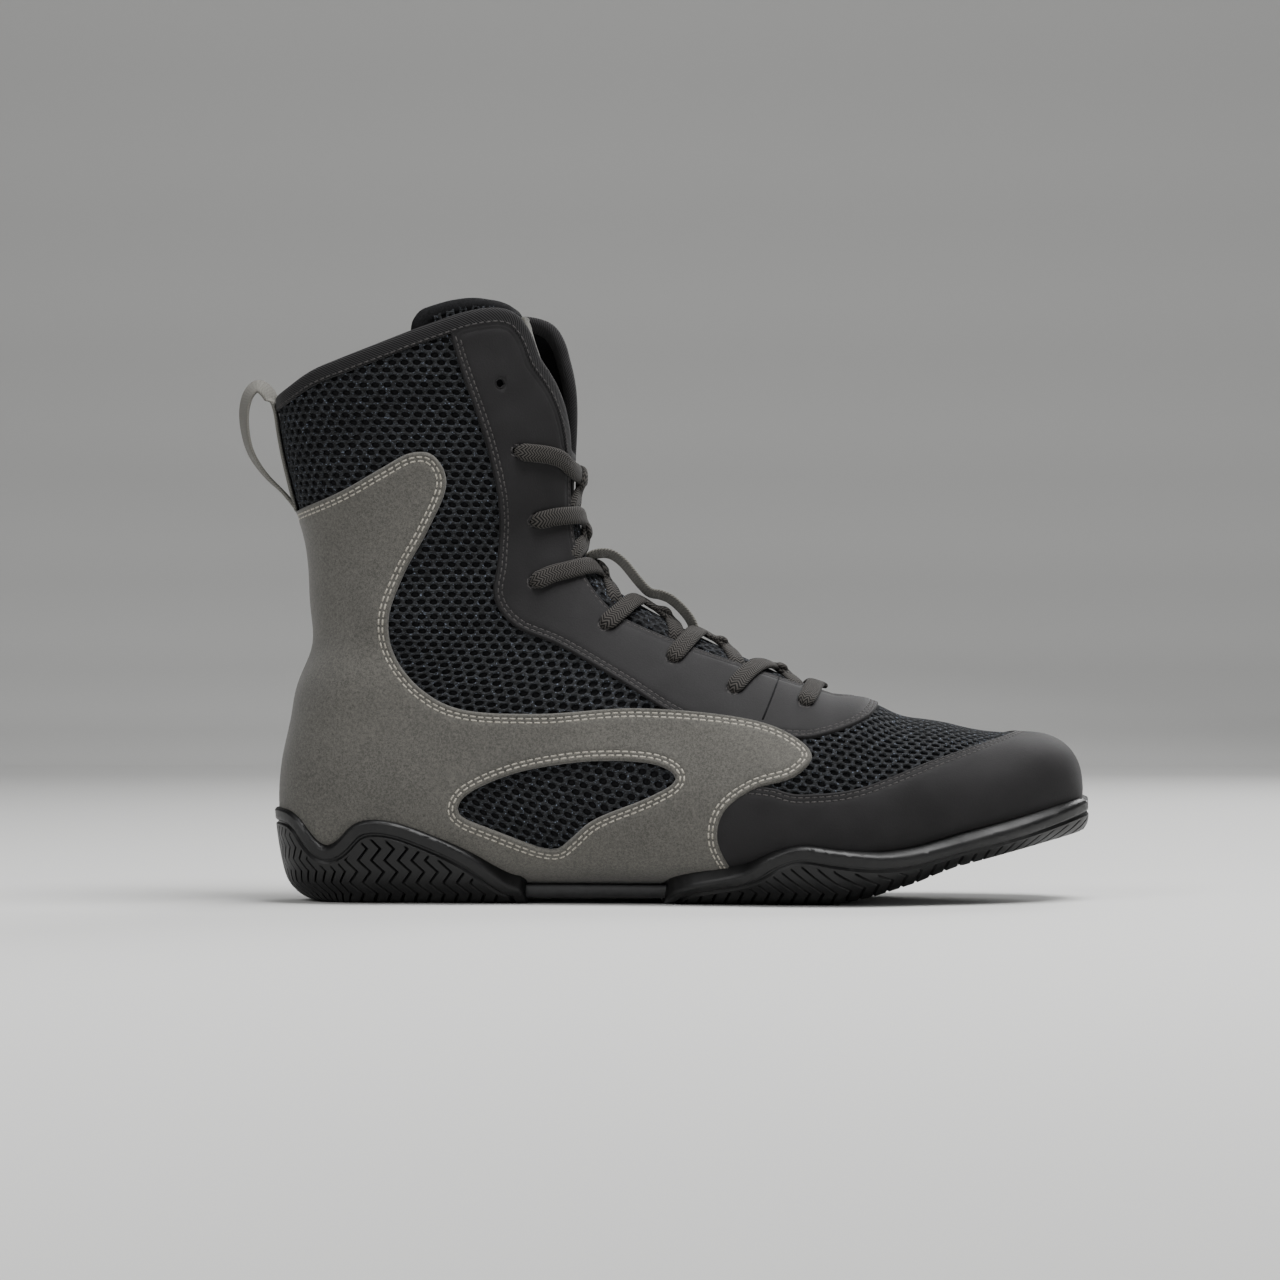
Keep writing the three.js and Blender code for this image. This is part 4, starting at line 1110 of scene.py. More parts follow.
# %% Stitches
def stitch_form(length, radius):
    """Points and faces of one stitch, lying along x."""
    bm = bmesh.new()
    bmesh.ops.create_uvsphere(bm, u_segments=6, v_segments=5, radius=1.0)
    points = get_points(bm)[:, [2, 0, 1]]
    reach = np.sign(points[:, 0]) * (length / 2 - radius)
    points = points * radius + np.column_stack([reach, np.zeros(len(points)), np.zeros(len(points))])
    points[:, 2] -= 0.9 * radius * (points[:, 0] / (length / 2)) ** 2
    faces = [[v.index for v in f.verts] for f in bm.faces]
    bm.free()
    return points, faces


class Seam:
    """Collects the stitches of one thread."""

    def __init__(self, length, radius, pitch):
        self.points, self.faces = stitch_form(length, radius)
        self.pitch, self.radius, self.copies = pitch, radius, []

    def sew(self, line, height, keep):
        """One row of stitches on a line of (at, girth) places."""
        points, normals = last.look(line[:, 0], line[:, 1])
        self.follow(points + normals * height, normals, keep)

    def follow(self, points, normals, keep=None):
        """Lays one stitch after another along a line in space."""
        run = run_along(points)
        count = int(run[-1] / self.pitch)
        if count < 2:
            return
        middles = (np.arange(count) + 0.5) * run[-1] / count
        reach = 0.35 * self.pitch
        spots, before, after, up = (
            np.column_stack([np.interp(where, run, grid[:, c]) for c in range(3)])
            for where, grid in ((middles, points), (middles - reach, points), (middles + reach, points),
                                (middles, normals)))
        along = (after - before) / np.maximum(np.linalg.norm(after - before, axis=1, keepdims=True), 1e-12)
        across = np.cross(up, along)
        across /= np.maximum(np.linalg.norm(across, axis=1, keepdims=True), 1e-12)
        up = np.cross(along, across)
        kept = np.ones(count, bool) if keep is None else keep(spots)
        for spot, axes in zip(spots[kept], np.stack([along, across, up], axis=1)[kept]):
            self.copies.append(spot + self.points @ axes)

    def finish(self, name, finish, slot):
        mesh = bpy.data.meshes.new(name)
        step = len(self.points)
        faces = [[i + k * step for i in f] for k in range(len(self.copies)) for f in self.faces]
        mesh.from_pydata(np.vstack(self.copies).tolist(), [], faces)
        bm = bmesh.new()
        bm.from_mesh(mesh)
        bpy.data.meshes.remove(mesh)
        print(f"{name}: {len(self.copies)} stitches")
        return make_piece(name, bm, finish)


def shown(points):
    """Above the rubber, so that the seam isn't sewn where nobody sees it."""
    x, z = points[:, 0], points[:, 2]
    hidden = (x < HEEL_END) & (z < lip_height(x, HEEL_LIP))
    hidden |= (x > FOREFOOT_START) & (z < lip_height(x, FOREFOOT_LIP))
    return ~hidden & (z > 10 * MM)


BESIDE_THROAT = 7.5 * MM
throat = last.look(opening.edge[:, 0], opening.edge[:, 1])[0]


def off_the_throat(points, second):
    """The eyestay has one row along the throat, and none beside the binding."""
    near = np.linalg.norm(points[:, None] - throat[None], axis=-1).min(1) < BESIDE_THROAT
    return ~(near & ((points[:, 2] > BINDING_FOOT) | second))


ON_SUEDE = 1.28 * MM
ON_EYESTAY = 1.03 * MM
ON_CAP = 0.85 * MM
SHORTEST_ROW = 12

pale = Seam(2.3 * MM, 0.42 * MM, 2.75 * MM)
for seam in SUEDE_SEAMS:
    for line in SEAM_LINES["heel_suede"][seam]:
        pale.sew(line, ON_SUEDE, shown)
pale.finish("suede_stitches", PALE_THREAD, "webbing")

dark = Seam(2.1 * MM, 0.38 * MM, 2.45 * MM)
for seam in STAY_SEAMS:
    for line in SEAM_LINES["eyestay_panel"][seam]:
        if len(line) > SHORTEST_ROW:
            dark.sew(line, ON_EYESTAY, lambda spots: off_the_throat(spots, seam == STAY_SEAMS[1]))
for seam in CAP_SEAMS:
    for line in SEAM_LINES["toe_cap_panel"][seam]:
        dark.sew(line, ON_CAP, shown)
dark.finish("black_stitches", DARK_THREAD, "twill")

# %% [markdown]
# ## Rubber soles
#
# The rubber is thin up the side, thick underfoot and cut flat along the tread.
# Below the lip come a smooth band, a groove and a thin ridge; under that the
# wall is cut into ribs that zigzag down and run on under the foot. The knife
# cuts three times: along the lip, along the corners of the zigzag, and along
# every groove, so each rib is crisp without a fine grid.

# %% Outsole, heel and forefoot
RUBBER_WALL = 2.2
UNDERFOOT = SOLE_THICKNESS / MM + 1.5
PROUD = 0.8
GROOVE_HALF = 0.62
RIB_PITCH = 4.8

# Below the lip: how far down, and how far the rubber stands out there
LIP_STEPS = [0, 0.3, 0.9, 3.7, 4.3, 4.7, 5.2, 5.7, 6.4, 7.0]
LIP_RISE = [-0.9, 0.3, 0.8, 0.8, 0.5, -0.1, -0.1, 0.8, 0.8, 0.8]


def rubber_core(places):
    """The face of the rubber without its ribs, and the way it looks."""
    points, normals = last.look(places[:, 0], places[:, 1])
    down = np.maximum(-normals[:, 2], 0) ** 2
    reach = (RUBBER_WALL + (UNDERFOOT - RUBBER_WALL) * down) * MM
    return points + normals * reach[:, None], normals


def lip_depth(outline, places):
    """Millimetres below the lip, measured on the outside of the rubber."""
    gaps = gap_to(rubber_core(outline.edge)[0], rubber_core(places)[0]) / MM
    return np.where(inside(outline.polygon, places), gaps, -gaps)


def set_height(bm, values):
    for vert, value in zip(bm.verts, values):
        vert.co.z = value


def lay_sole(name, outline, span, girths, cell, corners, phase_of, patch_of):
    """Cuts the rubber at its lip, its corners and its grooves, and lays it on the last."""
    rows = even_rows(last, span, [0.0], cell)
    columns = 2 * int((girths[1] - girths[0]) * last.length_round(np.mean(span)) / cell / 2)
    bm, flat = flat_leather(rows, girths, columns)
    flat[:, 2] = lip_depth(outline, flat[:, :2])
    set_points(bm, flat)
    cut_all(bm, LIP_STEPS, trim=True)
    core, _ = rubber_core(get_points(bm))
    set_height(bm, (core[:, 2] - tread_at(core[:, 0])) / MM)
    cut_all(bm, corners)
    core, _ = rubber_core(get_points(bm))
    phase = phase_of(core / MM)
    set_height(bm, phase)
    grooves = np.arange(math.ceil(phase.min() / RIB_PITCH), phase.max() / RIB_PITCH) * RIB_PITCH
    cut_all(bm, [g + step for g in grooves for step in (-GROOVE_HALF, 0, GROOVE_HALF)])
    flat = get_points(bm)
    core, normals = rubber_core(flat)
    lip = lip_depth(outline, flat[:, :2])
    groove = np.abs((flat[:, 2] / RIB_PITCH + 0.5) % 1.0 - 0.5) * RIB_PITCH
    ribbed = np.clip((lip - 6.3) / 0.6, 0, 1) * (1 - patch_of(core / MM))
    rise = np.interp(lip, LIP_STEPS, LIP_RISE)
    rise = rise - PROUD * 1.1 * ribbed * np.clip(1 - groove / GROOVE_HALF, 0, 1)
    outer = core + normals * rise[:, None] * MM
    floor = tread_at(outer[:, 0]) + (PROUD - np.minimum(rise, PROUD)) * MM
    outer[:, 2] = np.maximum(outer[:, 2], floor)
    inner = last.laid(np.column_stack([flat[:, :2], np.full(len(flat), 0.15 * MM)]))
    bm = close_sheet(name, bm, outer, inner)
    piece = make_piece(name, bm, RUBBER, [name[:-7]])
    piece.data.set_sharp_from_angle(angle=math.radians(36))


def wave(height, half):
    """A zigzag between -1 and 1 with its corners at whole multiples of half."""
    turn = height / half % 2
    return 1 - 2 * np.abs(turn - 1)


HEEL_TURN = (-24.0, 33.0)
TOE_TURN = (196.0, 38.0)


def heel_phase(core):
    """Runs along the heel and round its back, and zigzags on the way down."""
    x, y, z = core.T
    centre, radius = HEEL_TURN
    behind = centre - radius * np.arctan2(np.maximum(centre - x, 0), np.abs(y))
    along = np.where(x < centre, behind, x)
    return along - 1.9 * wave(z - tread_at(x * MM) / MM, 4.0) + 0.3 * np.abs(y)


def heel_patch(core):
    """1 on the smooth disc under the heel, where the ribs would meet."""
    reach = np.hypot(core[:, 0] - HEEL_TURN[0], core[:, 1])
    return np.clip((15 - reach) / 1.0, 0, 1) * (core[:, 2] < 2)


def swing_at(x):
    return np.interp(x * MM, last.base[::-1, 0], last.rows[::-1, 6] * BALL_WIDTH / MM)


def fore_phase(core):
    """Runs along the forefoot and round the toe, and turns back once on the way down."""
    x, y, z = core.T
    centre, radius = TOE_TURN
    y = y - swing_at(x)
    ahead = centre + radius * np.arctan2(np.maximum(x - centre, 0), np.abs(y))
    along = np.where(x > centre, ahead, x)
    return along + 1.1 * np.abs(z - tread_at(x * MM) / MM - 5.0) + 0.3 * np.abs(y)


def fore_patch(core):
    """1 on the smooth disc under the toe."""
    reach = np.hypot(core[:, 0] - TOE_TURN[0], core[:, 1] - swing_at(core[:, 0]))
    return np.clip((15 - reach) / 1.0, 0, 1) * (core[:, 2] - tread_at(core[:, 0] * MM) / MM < 2)


def lip_side(lip, side):
    """The lip as it shows from the side, found on the outside of the rubber."""
    target = smooth(side_points(lip), 8)
    guess = target.copy()
    for _ in range(12):
        places = last.find(guess, side)
        miss = target - rubber_core(places)[0][:, [0, 2]]
        guess = guess + 0.6 * miss
    met = np.flatnonzero(np.linalg.norm(miss, axis=1) < 0.5 * MM)
    return places[met[0]:met[-1] + 1]


def lip_centre(lip, near):
    """Where the lip crosses the middle line, under the foot or round its end."""
    ats = np.clip(np.linspace(near - 2.5, near + 2.5, 500), FIRST_SECTION, LAST_SECTION)
    core = rubber_core(np.column_stack([ats, np.zeros(500)]))[0]
    return ats[gap_to(smooth(side_points(lip), 8), core[:, [0, 2]]).argmin()]


def lip_outline(lip):
    """The lip round both sides, joined under the foot and across the toe or heel."""
    outer = lip_side(lip, -1)
    inner = lip_side(lip, 1) - [0, 1]
    first, final = ([lip_centre(lip, outer[end, 0]), 0] for end in (0, -1))
    edge = np.vstack([[first], outer, [final], inner[::-1], [first]])
    return Outline(edge, edge)


lay_sole("outsole_heel_visual", lip_outline(HEEL_LIP), (12.7, 18.8), (-0.24, 0.24), 1.6 * MM,
         [4, 8, 12, 16, 20, 24], heel_phase, heel_patch)
lay_sole("outsole_forefoot_visual", lip_outline(FOREFOOT_LIP), (-0.6, 11.3), (-0.38, 0.38), 1.6 * MM,
         [0.2, 5], fore_phase, fore_patch)

# %% [markdown]
# ## Binding, tongue and footbed
#
# A band of twill is folded over the collar and down the throat. The tongue is a
# thick pad in its own mesh that rises behind the throat, with a bare grey patch
# at its top. The footbed lies inside, and a hard plate joins heel and forefoot
# underneath. Long pieces are skins over rings of points: a grid is bent into a
# tube and closed at both ends, and its UV map is measured along and around it.

# %% Tubes, binding, plate and insole
def tube(rings):
    """A closed skin over rings of points."""
    n, m = rings.shape[:2]
    bm, spots = numbered_grid(n - 1, m)
    along = run_along(rings.mean(axis=1))
    around = run_along(np.vstack([rings[n // 2], rings[n // 2][:1]]))
    uv = bm.loops.layers.uv.new("UVMap")
    for face in bm.faces:
        for loop in face.loops:
            i, j = spots[loop.vert.index]
            loop[uv].uv = (along[i], around[j])
    set_points(bm, rings[spots[:, 0], spots[:, 1] % m])
    bmesh.ops.remove_doubles(bm, verts=bm.verts[:], dist=1e-7)
    bmesh.ops.holes_fill(bm, edges=[e for e in bm.edges if e.is_boundary])
    bmesh.ops.recalc_face_normals(bm, faces=bm.faces[:])
    return bm


def resampled(line, step):
    """The same line with points about one step apart."""
    run = run_along(line)
    places = np.linspace(0, run[-1], max(int(run[-1] / step), 2) + 1)
    return np.column_stack([np.interp(places, run, line[:, c]) for c in range(line.shape[1])])


def unit(vectors):
    return vectors / np.maximum(np.linalg.norm(vectors, axis=-1, keepdims=True), 1e-12)


def oval(steps, power):
    """Points round an oval between -1 and 1; a higher power makes it squarer."""
    angle = np.linspace(0, 2 * math.pi, steps, endpoint=False)
    return [np.sign(c) * np.abs(c) ** (2 / power) for c in (np.cos(angle), np.sin(angle))]


def rounded_section(width, thickness, steps=12, power=2.6):
    """A flat oval: points across the width and over the thickness."""
    across, over = oval(steps, power)
    return np.column_stack([across * width / 2, over * thickness / 2])


def band_rings(points, normals, section):
    """Rings of a flat band along a line; normals say which way its flat side faces."""
    tangent = unit(np.gradient(points, axis=0))
    across = unit(np.cross(normals, tangent))
    over = np.cross(tangent, across)
    section = np.broadcast_to(section, (len(points), *np.shape(section)[-2:]))
    return points[:, None] + section[..., :1] * across[:, None] + section[..., 1:] * over[:, None]


edge_points, edge_normals = last.look(opening_edge[:, 0], opening_edge[:, 1])
bound = edge_points[:, 2] > BINDING_FOOT
edge_points, edge_normals = edge_points[bound], edge_normals[bound]
frames = resampled(np.hstack([edge_points, edge_normals]), 2.0 * MM)
edge_points, edge_normals = frames[:, :3], unit(frames[:, 3:])
for _ in range(4):
    edge_normals[1:-1] = unit(edge_normals[:-2] + edge_normals[1:-1] + edge_normals[2:])
tangents = unit(np.gradient(edge_points, axis=0))
away = unit(np.cross(tangents, edge_normals))

# The fold in the plane across the edge: into the boot's wall, and over it
FOLD = np.array([
    [5.0, 0.15], [5.05, 0.7], [4.7, 1.15], [4.2, 1.25], [3.4, 1.22], [2.2, 1.25], [1.0, 1.2], [0.1, 0.9],
    [-0.6, 0.2], [-0.9, -0.7], [-0.6, -1.7], [0.1, -2.4], [1.0, -2.8], [2.5, -2.85], [4.2, -2.85],
    [4.8, -2.6], [4.9, -2.1], [3.0, -2.0], [3.0, 0.1],
]) * MM

if away[len(away) // 2, 2] > 0:
    away = -away
rings = edge_points[:, None] + FOLD[:, :1] * away[:, None] + FOLD[:, 1:] * edge_normals[:, None]
make_piece("binding_fold", tube(rings), TWILL, ["collar_binding"], level=1)

binding_seam = Seam(1.9 * MM, 0.3 * MM, 2.5 * MM)
binding_seam.follow(edge_points + away * 4.1 * MM + edge_normals * 1.25 * MM, edge_normals)
binding_seam.finish("binding_stitches", DARK_THREAD, "twill")

# A short cut seam on the tip of the eyestay, on both sides
TIP_SEAM = [[0.620, 0.349], [0.611, 0.318], [0.599, 0.279]]
for name, side in (("tip_seam_outer", -1), ("tip_seam_inner", 1)):
    line = last.find(smooth(side_points(TIP_SEAM), 8), side)
    places = resampled(np.pad(line, ((0, 0), (0, 1))), 0.05)
    points, normals = last.look(places[:, 0], places[:, 1])
    rings = band_rings(points + normals * 1.14 * MM, normals, rounded_section(0.7 * MM, 0.5 * MM, 8))
    make_piece(name, tube(rings), LINING)


def ring_of(bottom, top, outer, inner, x, steps=28, power=6):
    """A flat rounded ring across the boot at one x."""
    across, over = oval(steps, power)
    y = (inner - outer) / 2 + across * (inner + outer) / 2
    cup = 1.2 * MM * across ** 4
    z = (bottom + top) / 2 + over * (top - bottom) / 2 + cup * (over > 0)
    return np.column_stack([np.full(steps, x), y, z])


def half_width(x, height, grow, side):
    """How far out the last reaches at one height above the tread."""
    at = np.interp(-x, -underside[:, 0], last.ats[:len(underside)])
    girths = np.linspace(0, 0.3, 60) * (1 if side < 0 else -1)
    points, normals = last.look(np.full(60, at), girths % 1.0)
    points = points + normals * grow
    return np.interp(height + tread_at(x), points[:, 2], np.abs(points[:, 1]))


PLATE_SPAN = (30, 97)
PLATE_LOW = 1.6 * MM
PLATE_HIGH = 6.4 * MM
plate_rings = []
for x in np.linspace(*PLATE_SPAN, 40) * MM:
    outer, inner = (half_width(x, 4.0 * MM, 6.0 * MM, side) - 0.6 * MM for side in (-1, 1))
    plate_rings.append(ring_of(PLATE_LOW, PLATE_HIGH, outer, inner, x, power=5))
make_piece("arch_plate_visual", tube(np.array(plate_rings)), PLATE, ["arch_plate"])

FOOTBED_SPAN = (-43.5, 227)
FOOTBED_LOW = 2.35 * MM
FOOTBED_HIGH = 5.9 * MM
INSIDE_WALL = 2.6 * MM
foot_rings = []
for x in np.linspace(*FOOTBED_SPAN, 120) * MM:
    low = tread_at(x) + SOLE_THICKNESS
    outer, inner = (half_width(x, SOLE_THICKNESS + FOOTBED_HIGH, 0.0, side) - INSIDE_WALL for side in (-1, 1))
    ends = math.sqrt(max(1 - (max(-(x + 0.030), x - 0.205, 0) / 0.0225) ** 2, 0.02))
    middle = (inner - outer) / 2
    reach = (inner + outer) / 2 * ends
    foot_rings.append(ring_of(low + FOOTBED_LOW, low + FOOTBED_HIGH, reach - middle, reach + middle, x))
make_piece("insole_visual", tube(np.array(foot_rings)), FOAM, ["insole"], level=1)

# %% [markdown]
# ## The tongue
#
# The tongue follows a last of its own that leans back towards the leg. Low down
# it swells up into the throat; above the collar it ends in a padded top.

# %% Tongue, its mesh and the patch
TONGUE_EDGE = [
    [0.745, 0.240], [0.610, 0.310], [0.440, 0.420], [0.315, 0.535], [0.240, 0.690], [0.180, 0.900],
    [0.175, 0.945], [0.184, 0.975], [0.205, 0.990], [0.235, 0.998], [0.265, 1.002], [0.300, 0.998],
    [0.330, 0.975],
]
tongue_sides = [side_line(TONGUE_EDGE, side, tongue_last) for side in (-1, 1)]
tongue_edge = np.vstack([tongue_sides[0], tongue_sides[1][-2::-1]])
tongue_outline = Outline(tongue_edge, tongue_edge, tongue_last)


# Heights over the tongue's last, in millimetres
TONGUE_EDGE_DROP = 2.4
TONGUE_FACE = -2.3
THROAT_RISE = 2.0
TOP_PAD = 0.9
SEAM_AT = 5.2


def tongue_height(flat):
    """The outer face of the tongue over its last: thick in the throat and at the top."""
    at, depth = flat[:, 0], flat[:, 2] / MM
    free = opening.depth(flat[:, :2], last.look(flat[:, 0], flat[:, 1])[0]) / MM
    rise = THROAT_RISE * np.clip((free - 0.6) / 2.2, 0, 1) * np.clip((18.4 - at) / 1.6, 0, 1)
    rim = np.sqrt(np.maximum(1 - (1 - np.clip(depth / 2.6, 0, 1)) ** 2, 0))
    seam = 0.9 * np.exp(-((depth - SEAM_AT) / 0.8) ** 2) * (at > 21)
    pad = TOP_PAD * np.clip((at - 22.5) / 2, 0, 1) * np.clip((depth - 5.5) / 3, 0, 1)
    face = TONGUE_FACE - TONGUE_EDGE_DROP + TONGUE_EDGE_DROP * rim
    return (face + rise + pad - seam * rim) * MM


tongue_cuts = [c * MM for c in (0, 0.15, 0.5, 1.2, 2.6, 4.4, 5.2, 6.0, 8.5)]
tongue_pad = lay_panel("tongue_pad", (7, 27), (0.12, 0.88), 4.2 * MM, tongue_outline.depth, tongue_cuts,
                       tongue_height, -6.8 * MM, surface=tongue_last)
make_piece("tongue_pad", tongue_pad, LINING, ["tongue"], level=1)

tongue_rows = even_rows(tongue_last, (8, 27), [0.5], 1 * MM)
tongue_ring = tongue_last.length_round(tongue_rows)


def tongue_place(u, v):
    """Fabric laid down the middle of the tongue, level from side to side."""
    at = np.interp(u / MM, np.arange(len(tongue_rows)), tongue_rows)
    return np.column_stack([at, 0.5 + v / np.interp(u / MM, np.arange(len(tongue_rows)), tongue_ring)])


def tongue_cover(places):
    """The mesh lies on the tongue and is drawn in along its rim."""
    points = tongue_last.look(places[:, 0], places[:, 1])[0]
    depth = tongue_outline.depth(places, points)
    sunk = 1.2 * np.clip(1 - depth / (4 * MM), 0, 1)
    return tongue_height(np.column_stack([places, depth])) + (0.25 - sunk) * MM


def tongue_shown(places, points):
    free = opening.depth(places, last.look(places[:, 0], places[:, 1])[0])
    return (tongue_outline.depth(places, points) > 2.0 * MM) & ((free > -4 * MM) | (places[:, 0] > 24.5))


fabric("tongue_mesh", tongue_place, (0, (len(tongue_rows) - 1) * MM), (-52 * MM, 52 * MM), tongue_shown,
       tongue_last, tongue_cover)

LABEL_SPAN = (0.800, 0.975)
LABEL_HALF = 11 * MM


def label_depth(places, points):
    """Distance from the edge of the patch, a rectangle on the front of the tongue."""
    low, high = (SOLE_THICKNESS + share * UPPER_HEIGHT for share in LABEL_SPAN)
    return np.min([LABEL_HALF - np.abs(points[:, 1]), points[:, 2] - low, high - points[:, 2],
                   np.where(np.abs(places[:, 1] - 0.5) < 0.2, 1.0, -1.0)], axis=0)


def label_height(flat):
    return tongue_height(np.column_stack([flat[:, :2], np.full(len(flat), 0.02)])) \
        + rolled(0.5, 0.7, 0.5, (1.3,))(flat)


def label_under(flat):
    return tongue_height(np.column_stack([flat[:, :2], np.full(len(flat), 0.02)])) + 0.1 * MM


label = lay_panel("label_patch", (20, 27), (0.36, 0.64), 1.6 * MM, label_depth, knife_levels((1.3,)),
                  label_height, label_under, surface=tongue_last)
make_piece("label_patch", label, WEBBING, ["tongue_label"])

# %% [markdown]
# ## Pull loop, keeper and laces
#
# A webbing loop stands off the heel and a narrower one arches over the crossing
# laces. Each lace is one flat braid: from the bar over the lowest eyelets it
# goes in, comes out beside the tongue, crosses to the eyelet above on the other
# side and so on up, and its end stays inside above the last laced pair.

# %% Loops and laces
LOOP_WIDTH = 11 * MM
LOOP_THICKNESS = 1.5 * MM
KEEPER_WIDTH = 8 * MM
KEEPER_THICKNESS = 1.2 * MM

# The pull loop in the side view: up the heel, round and back down
LOOP = [
    [0.036, 0.640], [0.026, 0.686], [0.017, 0.729], [0.008, 0.775], [0.001, 0.818], [-0.008, 0.846],
    [-0.021, 0.857], [-0.033, 0.838], [-0.037, 0.799], [-0.030, 0.747], [-0.012, 0.706],
    [0.012, 0.672], [0.028, 0.645],
]
LEG_POINTS = 36
flat_loop = smooth(side_points(LOOP), 8)
back_x = np.interp(flat_loop[:, 1], heel_line[:, 1], heel_line[:, 0])
leg = np.arange(len(flat_loop)) < LEG_POINTS
flat_loop[leg, 0] = np.minimum(flat_loop[leg, 0], back_x[leg] - 1.2 * MM)
loop_points = np.column_stack([flat_loop[:, 0], np.zeros(len(flat_loop)), flat_loop[:, 1]])
loop_tangent = unit(np.gradient(loop_points, axis=0))
loop_normal = np.cross(loop_tangent, [0, 1, 0])
turned = np.sin(np.linspace(0, math.pi, len(loop_points))) ** 2 * ~leg
loop_normal[:, 1] += 0.45 * turned
print("pull loop band is", round(run_along(loop_points)[-1] / MM), "mm long")
rings = band_rings(loop_points, loop_normal, rounded_section(LOOP_WIDTH, LOOP_THICKNESS, 16, 4))
make_piece("pull_loop_webbing", tube(rings), WEBBING, ["pull_loop"], level=1)

# The keeper in the side view, from the tongue over its two humps and down again
KEEPER_LINE = [
    [0.372, 0.535], [0.382, 0.552], [0.392, 0.564], [0.405, 0.568], [0.417, 0.565], [0.429, 0.553],
    [0.439, 0.537], [0.451, 0.516], [0.463, 0.500], [0.476, 0.496], [0.488, 0.489], [0.500, 0.475],
    [0.511, 0.457], [0.517, 0.440], [0.520, 0.420],
]
flat_keeper = smooth(side_points(KEEPER_LINE), 6)
keeper_points = np.column_stack([flat_keeper[:, 0], np.zeros(len(flat_keeper)), flat_keeper[:, 1]])
keeper_tangent = unit(np.gradient(keeper_points, axis=0))
keeper_normal = np.cross([0, 1, 0], keeper_tangent) - np.array([0, 0.4, 0])
print("keeper band is", round(run_along(keeper_points)[-1] / MM), "mm long")
rings = band_rings(keeper_points, keeper_normal, rounded_section(KEEPER_WIDTH, KEEPER_THICKNESS, 16, 4))
make_piece("keeper_webbing", tube(rings), WEBBING, ["lace_keeper"], level=1)

LACE_WIDTH = 6.6
LACE_THICKNESS = 2.4

# Heights of the lace's middle over the last, in millimetres
AT_BAR = 1.9
NEAR_RIDGE = (1.8, 2.2)
ON_STAY = 2.3
AT_EYELET = 1.3
IN_EYELET = -1.6
BEHIND_STAY = -3.6
HIDDEN_END = -4.4
BELOW_EDGE = -2.6
PAST_EDGE = 0.1
OVER_TONGUE = 0.9

# In the side view: each strand from its eyelet to the ridge, lowest pair last
OVER_STAY = [
    [[0.301, 0.739], [0.330, 0.735], [0.351, 0.727], [0.364, 0.710]],
    [[0.320, 0.622], [0.343, 0.629], [0.362, 0.631], [0.376, 0.622]],
    [[0.319, 0.515], [0.342, 0.529], [0.366, 0.537], [0.390, 0.541]],
    [[0.406, 0.440], [0.427, 0.464], [0.451, 0.479], [0.471, 0.482]],
    [[0.489, 0.382], [0.506, 0.409], [0.524, 0.424], [0.543, 0.428]],
    [[0.563, 0.329], [0.579, 0.353], [0.597, 0.368], [0.614, 0.369]],
    [[0.650, 0.305], [0.658, 0.322], [0.668, 0.337]],
]
# And from the ridge down to where it goes under the edge of the throat
UNDER_STAY = [
    [[0.372, 0.672], [0.366, 0.641]], [[0.384, 0.596], [0.368, 0.562]], [[0.412, 0.529], [0.420, 0.492]],
    [[0.490, 0.460], [0.496, 0.428]], [[0.558, 0.412], [0.570, 0.380]], [[0.632, 0.366], [0.643, 0.341]],
]


def on_side(shares, side):
    """Side view points as places on the outer or the inner side."""
    return last.find(side_points(shares), side)


def lace_path(first_side):
    """Places, heights and widths of one lace, from the bar up to the highest laced pair."""
    side = first_side
    ridge = on_side([[0.676, 0.345]], side)[0]
    stops = [[ridge[0], 0.5, AT_BAR, 1]]
    for eyelet in range(7, 0, -1):
        over = on_side(OVER_STAY[eyelet - 1], side)[::-1]
        for (at, girth), height in zip(over[:-1], (*NEAR_RIDGE, ON_STAY)):
            stops.append([at, girth, height, 1])
        at, girth = over[-1]
        inward = over[-2] - over[-1]
        stops.append([*(over[-1] + 0.22 * inward), ON_STAY, 1])
        stops.append([at, girth, AT_EYELET, 0.62])
        stops.append([at, girth, IN_EYELET, 0.42])
        stops.append([*(over[-1] + 0.35 * inward), BEHIND_STAY, 0.8])
        if eyelet == 1:
            stops.append([*(over[-1] + 0.9 * inward), HIDDEN_END, 1])
            break
        under = on_side(UNDER_STAY[eyelet - 2], side)[::-1]
        stops.append([*(under[0] + 0.35 * (under[0] - under[1])), BELOW_EDGE, 1])
        stops.append([*under[0], PAST_EDGE, 1])
        stops.append([*under[1], OVER_TONGUE, 1])
        far = on_side(OVER_STAY[eyelet - 2], -side)[-1]
        cross = OVER_TONGUE + (LACE_THICKNESS if side < 0 else 0.2)
        stops.append([(under[1][0] + far[0]) / 2, 0.5, cross, 1])
        side = -side
    return np.array(stops)


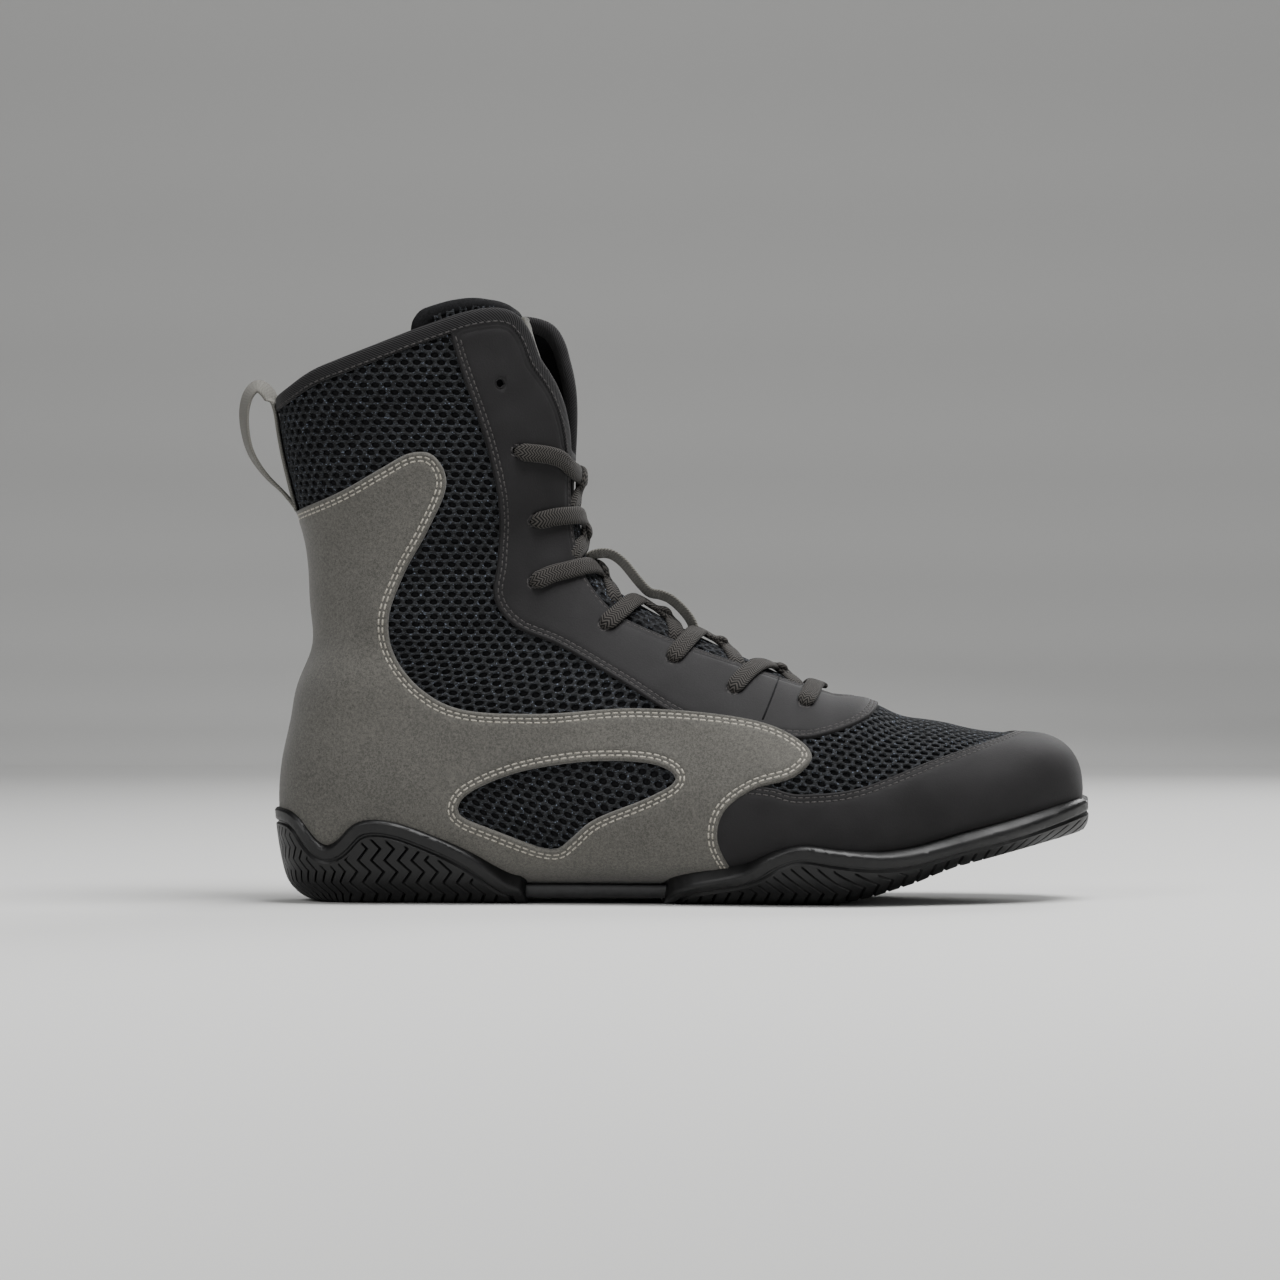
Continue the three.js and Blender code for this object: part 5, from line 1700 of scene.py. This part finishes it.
def lace_rings(stops):
    """Rings of a lace along its path, turned gently so that it lies flat where it can."""
    line = smooth(stops, 10)
    width = np.clip(line[:, 3], 0.4, 1)
    points, normals = last.look(line[:, 0], line[:, 1])
    points = points + normals * line[:, 2:3] * MM
    fine = resampled(np.hstack([points, normals, width[:, None]]), 1.0 * MM)
    points, normals, width = fine[:, :3], unit(fine[:, 3:6]), fine[:, 6]
    for _ in range(2):
        points[1:-1] = (points[:-2] + 2 * points[1:-1] + points[2:]) / 4
    tangent = unit(np.gradient(points, axis=0))
    across = np.cross(normals, tangent)
    carried = across[0]
    sections = []
    for i in range(len(points)):
        carried = carried - tangent[i] * (carried @ tangent[i])
        carried = unit(carried)
        lean = across[i] if across[i] @ carried >= 0 else -across[i]
        carried = unit(carried * max(0.75 - np.linalg.norm(lean), 0.08) + lean * 0.35)
        over = np.cross(tangent[i], carried)
        flat_oval = rounded_section(LACE_WIDTH * width[i] * MM, LACE_THICKNESS * MM, 10, 2.8)
        sections.append(points[i] + flat_oval[:, :1] * carried + flat_oval[:, 1:] * over)
    return np.array(sections)


OUTER_FIRST = ["lace_cross_1", "lace_cross_3", "lace_cross_5"]
INNER_FIRST = ["lace_cross_2", "lace_cross_4", "lace_cross_6", "lace_bar"]
for name, side, replaced in (("lace_outer_first", -1, OUTER_FIRST), ("lace_inner_first", 1, INNER_FIRST)):
    rings = lace_rings(lace_path(side))
    print(name, "is", round(run_along(rings.mean(axis=1))[-1] / MM), "mm long")
    make_piece(name, tube(rings), BRAID, replaced, level=1)

# %% [markdown]
# ## Floor, backdrop and light
#
# The boot stands on a pale floor that runs up into a pale wall. A soft lamp from
# the left shapes it, a broad one overhead lights the toe and the throat, a weak
# one fills the front, and one from behind draws a bright line along the edges.

# %% Stage and lamps
FLOOR_FRONT = -3.0
FLOOR_BACK = 1.6
BEND_RADIUS = 0.9
WALL_TOP = 4.0
HALF_WIDTH = 5


def backdrop():
    """A sheet of paper that lies on the floor and bends up behind the boot."""
    turn = np.linspace(0.1, math.pi / 2, 10)
    bend = zip(FLOOR_BACK + BEND_RADIUS * np.sin(turn), BEND_RADIUS * (1 - np.cos(turn)))
    profile = np.array([(FLOOR_FRONT, 0.0), (FLOOR_BACK, 0.0), *bend, (FLOOR_BACK + BEND_RADIUS, WALL_TOP)])
    bm = bmesh.new()
    bmesh.ops.create_grid(bm, x_segments=2, y_segments=60, size=1.0)
    for vert in bm.verts:
        place = (vert.co.y + 1) / 2 * (len(profile) - 1)
        y, z = (np.interp(place, range(len(profile)), profile[:, c]) for c in (0, 1))
        vert.co = (vert.co.x * HALF_WIDTH, y, z)
    paper = Finish("pale paper").surface(Base_Color=(0.62, 0.62, 0.61), Roughness=0.9)
    shown_object("backdrop", bm, paper)


def lamp(name, place, aim, size, power):
    data = bpy.data.lights.new(name, "AREA")
    data.shape, data.size, data.energy = "SQUARE", size, power
    light = bpy.data.objects.new(name, data)
    light.location = place
    light.rotation_euler = (Vector(aim) - Vector(place)).to_track_quat("-Z", "Y").to_euler()
    bpy.context.scene.collection.objects.link(light)


backdrop()
lamp("key", (-0.9, -1.3, 1.1), (0.05, 0, 0.09), 0.9, 15)
lamp("top", (0.45, -0.25, 1.4), (0.10, 0, 0.05), 0.8, 36)
lamp("fill", (1.3, -1.4, 0.5), (0.10, 0, 0.07), 1.0, 3)
lamp("rim", (0.7, 1.1, 0.9), (0.08, 0, 0.07), 0.7, 12)
world = bpy.data.worlds.new("soft room")
world.use_nodes = True
world.node_tree.nodes["Background"].inputs[0].default_value = (1, 1, 1, 1)
world.node_tree.nodes["Background"].inputs[1].default_value = 0.12
bpy.context.scene.world = world
